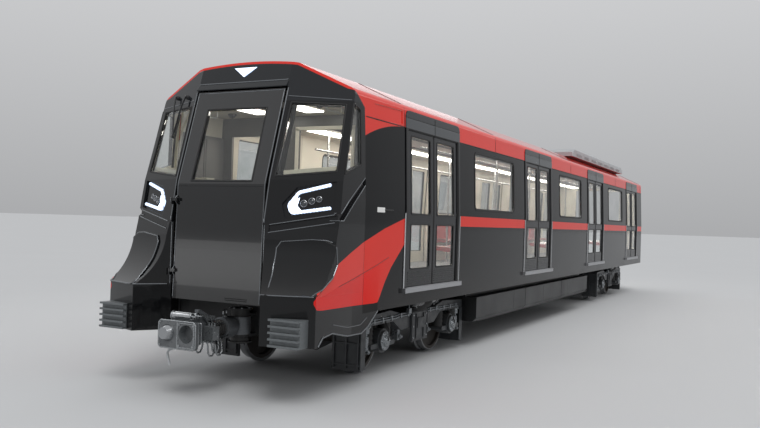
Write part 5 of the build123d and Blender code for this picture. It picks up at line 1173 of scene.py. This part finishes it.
keep_all({
    "coupler_face_frame": (BARE, 0, ALONE, [
        ("bar", FACE_FRAME, 0.011),
        *[("turned", (COUPLER_FACE_X - 0.002, y, z), "x", BOLT_HEAD, 6) for y, z in FACE_BOLTS]]),
    "coupler_head_edges": (BARE, 0, ALONE, [("bar", head_ring(*sizes), 0.008) for sizes in HEAD_RINGS]),
    "coupler_head_boxes": ((HEAD_BOX_GREY, "cast_steel"), 6, ALONE, [
        ("box", (9.780, 0.060, 0.615), (9.885, 0.235, 0.760)),
        ("box", (9.795, -0.235, 0.600), (9.885, -0.060, 0.790)),
        ("box", (9.640, -0.060, 0.800), (9.780, 0.060, 0.845)),
        *[("turned", (9.832, y, 0.755), "z", BOX_CAP, 6) for y in (0.135, 0.172, 0.210)]]),
    "coupler_cylinder_bands": (BARE, 0, ALONE, [
        *[("turned", (x, y, CYLINDER_Z), "y", BAND, 24) for x, end_y in CYLINDERS for y in (end_y, 0.050)],
        *[("turned", (x, 0.058, CYLINDER_Z), "y", CYLINDER_NOSE, 12) for x, _ in CYLINDERS]]),
    "coupler_air_pipes": (BARE, 0, ALONE, [
        *[("bar", air_pipe(index, y), 0.010) for index, y in enumerate(PIPE_LANES)],
        *[("turned", (9.872, y, 0.60), "-x", PIPE_NUT, 6) for y in PIPE_LANES],
        *[("bar", [(9.95, y, 0.862), (9.90, y, 0.88), (9.80, y, 0.85), (9.76, y, 0.79), (9.68, y * 0.8, 0.77),
                   (9.50, y * 0.6, 0.755)], 0.009) for y in (0.05, 0.12)]]),
    "coupler_valves": ((CHROME, "cast_steel"), 0, ALONE, [
        ("turned", Vector(place) - Vector(AXES[axis]) * size, axis,
         [(along * size, radius * size) for along, radius in VALVE], 16) for place, axis, size in VALVES]),
    "coupler_release_lever": ((ZINC_ROD, "cast_steel"), 0, ALONE, [
        ("bar", [(10.02, -0.10, 0.575), (10.04, -0.13, 0.530), (10.07, -0.19, 0.505), (10.08, -0.205, 0.480),
                 (10.08, -0.195, 0.43), (10.08, -0.165, 0.350)], 0.013, 10),
        ("bar", [(9.90, -0.12, 0.542), (10.06, -0.12, 0.542)], 0.012)]),
    "coupler_shank_rings": ((SPRING_RUBBER, "rubber"), 0, ALONE, [
        ("turned", (9.42 + 0.038 * step, 0, COUPLER_Z), "x", SHANK_RING, 28) for step in range(7)]),
    "coupler_lifting_eye": (BARE, 0, ALONE, [
        ("bar", EYE, 0.009),
        ("turned", (EYE_X, 0, 0.805), "z", EYE_BASE, 20)]),
}, body="front_coupler")
keep_all({"stone_guard": ((CASE_PAINT, "dark_steel"), 2, ALONE, [
    ("box", (8.778, -1.285, 0.655), (8.786, 1.285, 0.962)),
    ("box", (8.738, -1.285, 0.648), (8.786, 1.285, 0.656)),
    *[("box", (8.744, y - 0.005, 0.654), (8.780, y + 0.005, 0.961)) for y in
      (-1.05, -0.70, -0.35, 0.0, 0.35, 0.70, 1.05)],
    *[("box", (8.784, y - 0.012, 0.665), (8.800, y + 0.012, 0.955)) for y in (-1.19, -1.00, 1.00, 1.19)]])})
drum_bolts = grow(bolts_tree, [(x, 0, DRUM_TOP_Z) for x in (COUPLER_PIVOT_X, REAR_PIVOT_X)], CHROME, {
    "Count": 8, "Ring radius": 0.121, "Bolt radius": 0.011, "Bolt height": 0.010})
keep("coupler_drum_bolts", (CHROME, "cast_steel"), drum_bolts)

# %% [markdown]
# Seals round the door panes
#
# Every pane of a door leaf sits in a black rubber seal that stands a little proud. There are 32 such panes,
# so the frames tree makes the seals. The upper panes lean with the side.

# %% Door pane seals
seals = []
for side in SIDES:
    for low, high in LEAF_PANES:
        middle = (low + high) / 2
        points = [(x + hand * PANE_MID, side * (side_y(middle) - LEAF_BACK), middle)
                  for x in DOOR_XS for hand in (-1, 1)]
        seals.append(grow(frames_tree, points, EPDM, {
            "Width": PANE_W, "Height": high - low, "Corner radius": 0.03, "Bar width": 0.020,
            "Bar depth": 0.008, "Lean": side * LEAN if middle > LEAN_Z else 0.0}))
keep("door_pane_seals", RUBBER, *seals)

# %% [markdown]
# Kick panels and thresholds
#
# The foot of each leaf has fine horizontal grooves, which show as dark lines with a light edge. Thin bars are
# laid on the panel. The aluminium threshold below is ribbed so that nobody slips. The rows tree lays both.

# %% Kick panel ribs and threshold treads
RIB_X, RIB_Y, RIB_Z = 0.415, HALF_W - LEAF_BACK + 0.001, 1.165
TREAD_Y = 1.372

ribs, treads = [], []
for side in SIDES:
    points = [(x + hand * RIB_X, side * RIB_Y, RIB_Z) for x in DOOR_XS for hand in (-1, 1)]
    ribs.append(grow(rows_tree, points, DARK_PLASTIC, {
        "Bar size": (0.70, 0.006, 0.010), "Count": 6, "Step": (0, 0, 0.028)}))
    treads.append(grow(rows_tree, [(x, side * TREAD_Y, FLOOR_Z + 0.001) for x in DOOR_XS], ALUMINIUM, {
        "Bar size": (1.60, 0.005, 0.003), "Count": 6, "Step": (0, side * 0.013, 0)}))
keep("kick_panel_ribs", (DARK_PLASTIC, "rubber"), *ribs)
keep("threshold_treads", (ALUMINIUM, "bare_aluminium"), *treads)

# %% [markdown]
# Leaf edges and portal trims
#
# Where two leaves meet, each has a soft rubber nose. At both sides of the doorway a thin stainless trim
# catches the light, and a rubber line runs round the portal. They follow the side's bend at LEAN_Z.

# %% Door noses, trims and portal rubbers
PORTAL_INNER = PORTAL_HALF - FRAME_W - 0.006
RUBBER_TOP_Z = 3.08


def side_line(x, z0, z1, proud):
    """Points of an upright line on the car's side, with the bend at LEAN_Z."""
    return [(x, side_y(z) + proud, z) for z in (z0, LEAN_Z, z1) if z0 <= z <= z1]


RUBBER_TOP = [(x, side_y(RUBBER_TOP_Z) - 0.004, RUBBER_TOP_Z) for x in (-PORTAL_INNER, PORTAL_INNER)]
keep_all({
    "door_edge_noses": (RUBBER, 0, LEAVES, [
        ("bar", side_line(0.011, 1.13, 3.075, -LEAF_BACK - 0.004), 0.010)]),
    "portal_trims": ((STAINLESS, "polished_steel"), 0, LEAVES, [
        ("bar", side_line(PORTAL_HALF + 0.012, FLOOR_Z - 0.03, 2.04, 0.006), 0.011)]),
    "portal_rubbers": (RUBBER, 0, DOORWAYS, [
        *[("bar", side_line(x, FLOOR_Z + 0.01, RUBBER_TOP_Z, -0.004), 0.009) for x in
          (-PORTAL_INNER, PORTAL_INNER)],
        ("bar", RUBBER_TOP, 0.009)]),
    "portal_cap_lines": (RUBBER, 0, DOORWAYS, [
        ("bar", side_line(0, 3.09, PORTAL_TOP_Z - 0.01, FRAME_PROUD + 0.0005), 0.004, 6)]),
})

# %% [markdown]
# Roof unit
#
# The air conditioning unit on the rear half breathes through louvres at its sides and fans on top. In CAD it
# is a closed box. Here the fans' wells and the joints between its lids are cut out of that box with a
# Boolean, so this piece stands in for the node. Each well gets a fan and a guard of concentric wires.

# %% Roof unit
UNIT_LOW, UNIT_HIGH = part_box("roof_unit")
FAN_R, WELL_DEPTH = 0.29, 0.10
FAN_PLACES = [(x, side * 0.40) for x in (-7.6, -6.6, -4.9, -3.9) for side in SIDES]
FAN_FOOT_Z, GUARD_Z = UNIT_HIGH.z - WELL_DEPTH - 0.002, UNIT_HIGH.z - 0.006
FAN_HUB = ((0, 0.085), (0.060, 0.085), (0.070, 0.070), (0.072, 0))
WELL = ((0, FAN_R), (WELL_DEPTH + 0.05, FAN_R))
LID_XS = (-8.35, -7.1, -5.75, -4.4, -3.2)
# corners of a fan blade: outwards from the hub, ahead, and up
BLADE = ((0.078, -0.035, -0.015), (0.268, -0.070, -0.022), (0.268, 0.070, 0.022), (0.078, 0.035, 0.015))


def cut_out(node_name, rows):
    """The mesh of a CAD node with shapes cut out of it."""
    host = new_object("host", welded("host", [nodes[node_name].data]))
    cutter = new_object("cutter", welded("cutter", [shapes(rows)]))
    boolean = host.modifiers.new("wells", "BOOLEAN")
    boolean.operation = "DIFFERENCE"
    boolean.solver = "EXACT"
    boolean.object = cutter
    made = baked(host)
    bpy.data.objects.remove(cutter)
    return made


def fan_guards(bm):
    for x, y in FAN_PLACES:
        for radius in (0.06, 0.12, 0.18, 0.24, FAN_R - 0.004):
            bar_into(bm, [(x + radius * c, y + radius * s, GUARD_Z) for s, c in circle(24)], 0.004, 6)
        for s, c in circle(8)[:4]:
            arm = Vector((c, s, 0)) * (FAN_R + 0.004)
            centre = Vector((x, y, GUARD_Z - 0.008))
            bar_into(bm, [centre - arm, centre + arm], 0.005, 6)


def fans(bm):
    for x, y in FAN_PLACES:
        turned_into(bm, (x, y, FAN_FOOT_Z), (0, 0, 1), FAN_HUB, 28)
        hub = Vector((x, y, FAN_FOOT_Z + 0.035))
        for s, c in circle(7)[:7]:
            across, ahead = Vector((c, s, 0)), Vector((-s, c, 0))
            plate_into(bm, [hub + across * out + ahead * on + Vector((0, 0, up)) for out, on, up in BLADE],
                       (0, 0, 0.004))


unit_mesh = cut_out("roof_unit", [
    *[("turned", (x, y, UNIT_HIGH.z - WELL_DEPTH), "z", WELL, 48) for x, y in FAN_PLACES],
    *[("box", (x - 0.006, -0.98, UNIT_HIGH.z - 0.010), (x + 0.006, 0.98, UNIT_HIGH.z + 0.05))
      for x in LID_XS]])
roof_unit_shell = keep("roof_unit_shell", (ROOF_PAINT, "grey_paint"), unit_mesh)
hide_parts("roof_unit")
keep("roof_fans", (DARK_PLASTIC, "dark_steel"), fans)
keep("roof_fan_guards", (ROOF_PAINT, "grey_paint"), fan_guards)

# %% [markdown]
# Underfloor cases
#
# The long cases hang under the floor, behind smooth covers. Only the joints between the covers and a folded
# edge along their foot show.

# %% Case details
CASE_Y, CASE_Z0, CASE_Z1 = 1.300, 0.480, 0.800
CASE_X0, CASE_X1 = [corner.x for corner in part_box("equipment_cases")]
CASE_DOORS = 4
JOINT_XS = [CASE_X0 + index * ((CASE_X1 - CASE_X0) / CASE_DOORS) for index in range(1, CASE_DOORS)]

keep_all({
    "case_joints": (RUBBER, 0, MIRRORED, [
        ("box", (x - 0.004, CASE_Y - 0.004, CASE_Z0 + 0.005), (x + 0.004, CASE_Y + 0.0015, CASE_Z1 - 0.005))
        for x in JOINT_XS]),
    "case_feet": ((CASE_PAINT, "dark_steel"), 0, MIRRORED, [
        ("bar", [(x, CASE_Y - 0.001, CASE_Z0 - 0.045) for x in (CASE_X0 + 0.02, CASE_X1 - 0.02)], 0.007)]),
})

# %% [markdown]
# Bogie fittings
#
# A bogie is crowded. Each axle box has a turned cap held by six bolts, oil dampers stand beside it, air pipes
# run along the side beams in clamps, and the guard plates ahead of the wheels are stiffened with ribs. The
# air springs have extra tanks outside them, and brake hangers with cross pins stand between the wheels. Each
# kind is one row of the table, for both sides or all four corners, and everything rides on its bogie.

# %% Bogie fittings
SIDEWAYS = (math.pi / 2, 0, 0)
BEAM_Y, PLATE_Y, BOX_Y = 1.095, 1.120, 1.155
BOGIE_METAL = finish("galvanised_fittings", "8b8f92", "777b7e", 0.3, 25, 0.7, 0.08)
TANK_BLACK = finish("tank_enamel", "2a2c2e", "232527", 0.16, 200, wear=0.03, coat=0.5)
METAL, PAINTED = (BOGIE_METAL, "bogie_paint"), (BOGIE_PAINT, "bogie_paint")
AXLE_CAP = ((0, 0.120), (0.010, 0.117), (0.012, 0.070), (0.030, 0.062), (0.034, 0.040), (0.040, 0.036),
            (0.042, 0))
DAMPER_X, DAMPER_Y = AXLE_X + 0.335, 1.060
DAMPER = ((0, 0.018), (0.02, 0.030), (0.04, 0.034), (0.19, 0.034), (0.20, 0.018), (0.23, 0.016),
          (0.23, 0.042), (0.315, 0.042), (0.32, 0.02))
DAMPER_PIN = ((0, 0.024), (0.09, 0.024), (0.094, 0.014), (0.104, 0.014), (0.104, 0))
# x and z of a beam pipe, its end, and the places of its clamps
BEAM_PIPE_END = (1.42, BEAM_Y + 0.012, 0.655)
BEAM_PIPE = ((0.29, 0.700), (0.62, 0.700), (0.72, 0.690), (1.38, 0.690), (1.42, 0.670))
CLAMPS = ((0.36, 0.700), (0.58, 0.700), (0.85, 0.690), (1.1, 0.690), (1.33, 0.690))
CABLE_Y = BOX_Y + 0.042
CABLE = [(AXLE_X, CABLE_Y - 0.01, AXLE_Z), (AXLE_X, CABLE_Y, AXLE_Z + 0.01),
         (AXLE_X - 0.02, CABLE_Y, AXLE_Z + 0.05), (AXLE_X - 0.05, CABLE_Y - 0.02, AXLE_Z + 0.14),
         (AXLE_X - 0.08, BEAM_Y + 0.02, 0.66), (AXLE_X - 0.08, BEAM_Y + 0.012, 0.70)]
GUARD_X = 1.620
TANK_X, TANK_Y, TANK_Z = -0.43, 1.195, 0.862
TANK = ((0, 0), (0.008, 0.022), (0.022, 0.040), (0.045, 0.050), (0.815, 0.050), (0.838, 0.040),
        (0.852, 0.022), (0.86, 0))
TANK_BAND = ((-0.015, 0.048), (-0.015, 0.0535), (0.015, 0.0535), (0.015, 0.048))
TANK_BANDS = [TANK_X + along for along in (0.14, 0.43, 0.72)]
HANGER_PIN = ((0, 0.03), (0.13, 0.03), (0.134, 0.018), (0.15, 0.018), (0.15, 0))
BOGIE_FITTINGS = {
    "axle_caps": (METAL, 0, CORNERS, [("turned", (AXLE_X, BOX_Y - 0.002, AXLE_Z), "y", AXLE_CAP, 32)]),
    "bogie_dampers": (METAL, 0, CORNERS, [
        ("turned", (DAMPER_X, DAMPER_Y, 0.335), "z", DAMPER, 20),
        *[("turned", (DAMPER_X, DAMPER_Y - 0.045, z), "y", DAMPER_PIN, 16) for z in (0.340, 0.648)]]),
    "beam_pipes": (METAL, 0, CORNERS, [
        *[("bar", [*[(x, BEAM_Y + 0.012, z + lane) for x, z in BEAM_PIPE], BEAM_PIPE_END], radius)
          for lane, radius in ((0.0, 0.010), (0.030, 0.007))],
        *[("box", (x - 0.014, BEAM_Y - 0.003, z - 0.018), (x + 0.014, BEAM_Y + 0.027, z + 0.045))
          for x, z in CLAMPS]]),
    "sensor_conduits": ((EPDM, "bogie_paint"), 0, CORNERS, [("bar", CABLE, 0.008)]),
    "side_plate_frames": (PAINTED, 2, MIRRORED, [
        ("bar", [(x, PLATE_Y + 0.001, z) for x, z in rectangle((-0.248, 0.342), (0.248, 0.718))], 0.008),
        *[("box", (x - 0.008, PLATE_Y - 0.004, 0.36), (x + 0.008, PLATE_Y + 0.014, 0.70))
          for x in (-0.12, 0.12)],
        ("box", (-0.10, PLATE_Y - 0.004, 0.50), (0.10, PLATE_Y + 0.022, 0.64))]),
    "guard_ribs": (PAINTED, 2, CORNERS, [
        *[("box", (GUARD_X - 0.004, y - 0.011, 0.16), (GUARD_X + 0.026, y + 0.011, 0.75))
          for y in (0.73, 0.90, 1.065)],
        *[("box", (GUARD_X - 0.004, 0.705, z - 0.010), (GUARD_X + 0.018, 1.090, z + 0.010))
          for z in (0.20, 0.46, 0.72)],
        ("box", (GUARD_X - 0.10, BEAM_Y - 0.006, 0.15), (GUARD_X + 0.012, BEAM_Y + 0.008, 0.64))]),
    "air_tanks": ((TANK_BLACK, "bogie_paint"), 0, MIRRORED, [
        ("turned", (TANK_X, TANK_Y, TANK_Z), "x", TANK, 28),
        *[("turned", (x, TANK_Y, TANK_Z), "x", TANK_BAND, 28) for x in TANK_BANDS],
        *[("box", (x - 0.015, 1.03, 0.790), (x + 0.015, 1.20, 0.822)) for x in TANK_BANDS]]),
    "height_valves": (METAL, 0, MIRRORED, [
        ("bar", [(0.36, 1.125, 0.72), (0.36, 1.125, 0.905)], 0.007),
        ("box", (0.325, 1.095, 0.72), (0.395, 1.145, 0.79)),
        ("turned", (0.36, 1.113, 0.90), "y", ((0, 0.014), (0.024, 0.014), (0.026, 0)), 12),
        ("bar", [(0.36, 1.125, 0.90), (0.20, 1.06, 0.90)], 0.008)]),
    "brake_hangers": (METAL, 3, CORNERS, [
        ("box", (0.425, 0.95, 0.37), (0.495, 1.03, 0.60)),
        ("turned", (0.46, 0.93, 0.42), "y", HANGER_PIN, 16),
        ("turned", (0.46, 0.93, 0.56), "y", ((0, 0.026), (0.12, 0.026), (0.122, 0)), 16)]),
}
# bolts: count in a ring, its radius, radius of a head, places in the bogie
BOGIE_BOLTS = {
    "axle_cover_bolts": (6, 0.095, 0.013, [
        (hand * AXLE_X, side * 1.168, AXLE_Z) for _, hand, side in CORNERS]),
    "side_plate_bolts": (1, 0.0, 0.014, [(x, side * (PLATE_Y + 0.004), z) for side in SIDES
                                         for x in (-0.21, 0.21) for z in (0.38, 0.53, 0.68)]),
}
for end, bogie_x in BOGIE_XS.items():
    keep_all(BOGIE_FITTINGS, f"bogie_{end}", bogie_x, f"_{end}")
    for name, (count, ring_radius, radius, places) in BOGIE_BOLTS.items():
        heads = grow(bolts_tree, [(bogie_x + x, y, z) for x, y, z in places], CHROME, {
            "Count": count, "Ring radius": ring_radius, "Bolt radius": radius, "Bolt height": 0.012,
            "Turn": SIDEWAYS})
        keep(f"{name}_{end}", (CHROME, "cast_steel"), heads, body=f"bogie_{end}")

# %% [markdown]
# Roof and ends
#
# A gutter runs along the lower edge of the red roof panel, and sealed joints cross the roof. The air
# conditioning unit has lids and louvres. At the rear end, rails stand beside the gangway, its bellows is held
# by clamping frames, and the bridge plate is ribbed.

# %% Roof and end fittings
ROOF_SKIN = skin_of("roof")
GUTTER_Z = 3.096
GUTTER_ENDS = [8.74, *[x + hand * 0.905 for x in DOOR_XS for hand in (1, -1)], -9.72]
GUTTERS = [((front, GUTTER_Z), (back, GUTTER_Z)) for front, back in zip(GUTTER_ENDS[::2], GUTTER_ENDS[1::2])]
LOUVRE_XS = [UNIT_LOW.x + 0.75 + step * 0.82 for step in range(7)]
LOUVRE_ZS = [3.700 + row * 0.016 for row in range(4)]
RAIL = ((-9.742, 1.25), (-9.80, 1.27), (-9.81, 1.31), (-9.81, 2.15), (-9.80, 2.19), (-9.742, 2.21))
SOCKET = ((0, 0.045), (0.02, 0.045), (0.024, 0.036), (0.03, 0.036), (0.03, 0))
SOCKET_YS = (0.72, 0.92)
ROOF_JOINT_XS = (7.76, 4.36, -0.59, -5.54, -9.55)


def roof_joints(bm):
    for x in ROOF_JOINT_XS:
        left, right = [trace(SIDES_SKIN, "side", ((x, 3.10), (x, 3.33)), side, step=0.1) for side in SIDES]
        over = trace(ROOF_SKIN, "top", ((x, 1.30), (x, -1.30)))
        bar_into(bm, left + over + right[::-1], 0.004, 6)


keep_lines("roof_gutters", RUBBER, SIDES_SKIN, "side", GUTTERS, 0.006, 0.0, step=1.0)
keep("roof_joints", RUBBER, roof_joints)
keep_all({
    "roof_unit_louvres": ((ROOF_PAINT, "grey_paint"), 0, MIRRORED, [
        ("box", (x - 0.28, 0.893, z), (x + 0.28, 0.907, z + 0.006)) for x in LOUVRE_XS for z in LOUVRE_ZS]),
    "rear_grab_rails": ((STAINLESS, "polished_steel"), 0, MIRRORED, [
        ("bar", [(x, 1.18, z) for x, z in RAIL], 0.014, 10)]),
    "bellows_clamp_frames": ((ALUMINIUM, "bare_aluminium"), 0, ALONE, [
        ("bar", [(x, y, z) for y, z in rectangle((-1.012, 1.04), (1.012, 3.32))], 0.014)
        for x in (-9.760, -10.120)]),
    "rear_cable_sockets": ((UNDERFRAME, "dark_steel"), 5, MIRRORED, [
        *[("box", (-9.80, y - 0.07, 0.965), (-9.70, y + 0.07, 1.085)) for y in SOCKET_YS],
        *[("turned", (-9.80, y, 1.025), "-x", SOCKET, 20) for y in SOCKET_YS]]),
})
bridge_ribs = grow(rows_tree, [(-10.02, 0, 1.121)], ALUMINIUM, {
    "Bar size": (0.006, 1.16, 0.003), "Count": 14, "Step": (0.020, 0, 0)})
keep("gangway_bridge_ribs", (ALUMINIUM, "bare_aluminium"), bridge_ribs)

# %% [markdown]
# Saloon
#
# The saloon shows through every window. Air slots run along the ceiling between the lights, and short
# dividers part the seats. The slots come from the rows tree.

# %% Saloon fittings
CEILING_Z = 3.240
SLOT_MIDDLE, SLOT_LENGTH = -0.9, 16.8
DIVIDER_XS = [(low + high) / 2 + step * 0.56 for low, high in zip(DOOR_XS[1:], DOOR_XS)
              for step in range(-2, 3)]
DIVIDER = ((0.905, 1.575), (0.91, 1.60), (1.26, 1.585), (1.285, 1.62), (1.29, 2.01))

slot_points = [(SLOT_MIDDLE, side * 0.30 - 0.06, CEILING_Z - 0.001) for side in SIDES]
slots = grow(rows_tree, slot_points, DARK_PLASTIC, {
    "Bar size": (SLOT_LENGTH, 0.012, 0.006), "Count": 5, "Step": (0, 0.030, 0)})
keep("ceiling_air_slots", (DARK_PLASTIC, "cream_plastic"), slots)
keep_all({"seat_dividers": ((STAINLESS, "polished_steel"), 0, MIRRORED, [
    ("bar", [(x, y, z) for y, z in DIVIDER], 0.010) for x in DIVIDER_XS])})

# %% [markdown]
# Light and floor
#
# The studio is plain: a wide pale floor, a soft key light from the camera's side, and a sky that grows
# lighter upwards. Glossy black shows only what it mirrors, so long narrow softboxes hang beside and ahead of
# the car, as in a car studio. They add little light, but their reflections draw the edges and break up the
# flat panels. World and key together are about 1, so colours render about as they are written.

# %% Stage and lights
FLOOR_SIZE = 900
HORIZON, ZENITH = "b9babc", "f4f5f7"
# name: place, point that it faces, width, height, watts
SOFTBOXES = {
    "line_left": ((0.0, 6.0, 7.0), (0, 0, 1.8), 26.0, 1.0, 140),
    "line_right": ((0.0, -6.0, 7.0), (0, 0, 1.8), 26.0, 1.0, 140),
    "card_ahead": ((27.0, -5.0, 0.95), (9.6, -5.0, 0.95), 26.0, 1.8, 120),
    "card_right": ((13.0, -16.0, 1.4), (9.0, -2.0, 1.4), 9.0, 2.4, 90),
}

floor_material, tree = new_material("studio_floor")
tones = add_node(tree, MIX, grain(tree, 4000), "c0c1c2", "bcbdbe")
surface(floor_material, {"Base Color": tones, "Roughness": 0.6, "Specular IOR Level": 0.0})
floor_mesh = bpy.data.meshes.new("studio_floor")
half = FLOOR_SIZE / 2
floor_mesh.from_pydata([(-half, -half, 0), (half, -half, 0), (half, half, 0), (-half, half, 0)], [],
                       [(0, 1, 2, 3)])
floor_mesh.materials.append(floor_material)
new_object("studio_floor", floor_mesh)

world = bpy.data.worlds.new("studio")
world.use_nodes = True
bpy.context.scene.world = world
tree = world.node_tree
tree.nodes.clear()
share = add_node(tree, RANGE, car_axes(tree)[2], 0, 0.5)
sky = add_node(tree, MIX, share, HORIZON, ZENITH)
background = add_node(tree, "ShaderNodeBackground", Color=sky, Strength=0.84)
add_node(tree, "ShaderNodeOutputWorld", Surface=background)

key_data = bpy.data.lights.new("key", "SUN")
key_data.energy = 1.1
key_data.angle = math.radians(25)
key = new_object("key", key_data)
key.rotation_euler = (math.radians(38), 0, math.radians(125))
for name, (place, aim, width, height, watts) in SOFTBOXES.items():
    box_data = bpy.data.lights.new(name, "AREA")
    box_data.shape = "RECTANGLE"
    box_data.size = width
    box_data.size_y = height
    box_data.energy = watts
    softbox = new_object(name, box_data)
    softbox.location = place
    softbox.rotation_euler = (Vector(aim) - Vector(place)).to_track_quat("-Z", "Y").to_euler()
    softbox.visible_camera = False
    # the cards at floor height only show in reflections, so they leave no bright strip on the floor
    softbox.visible_diffuse = not name.startswith("card")
bpy.context.scene.view_settings.view_transform = "Standard"
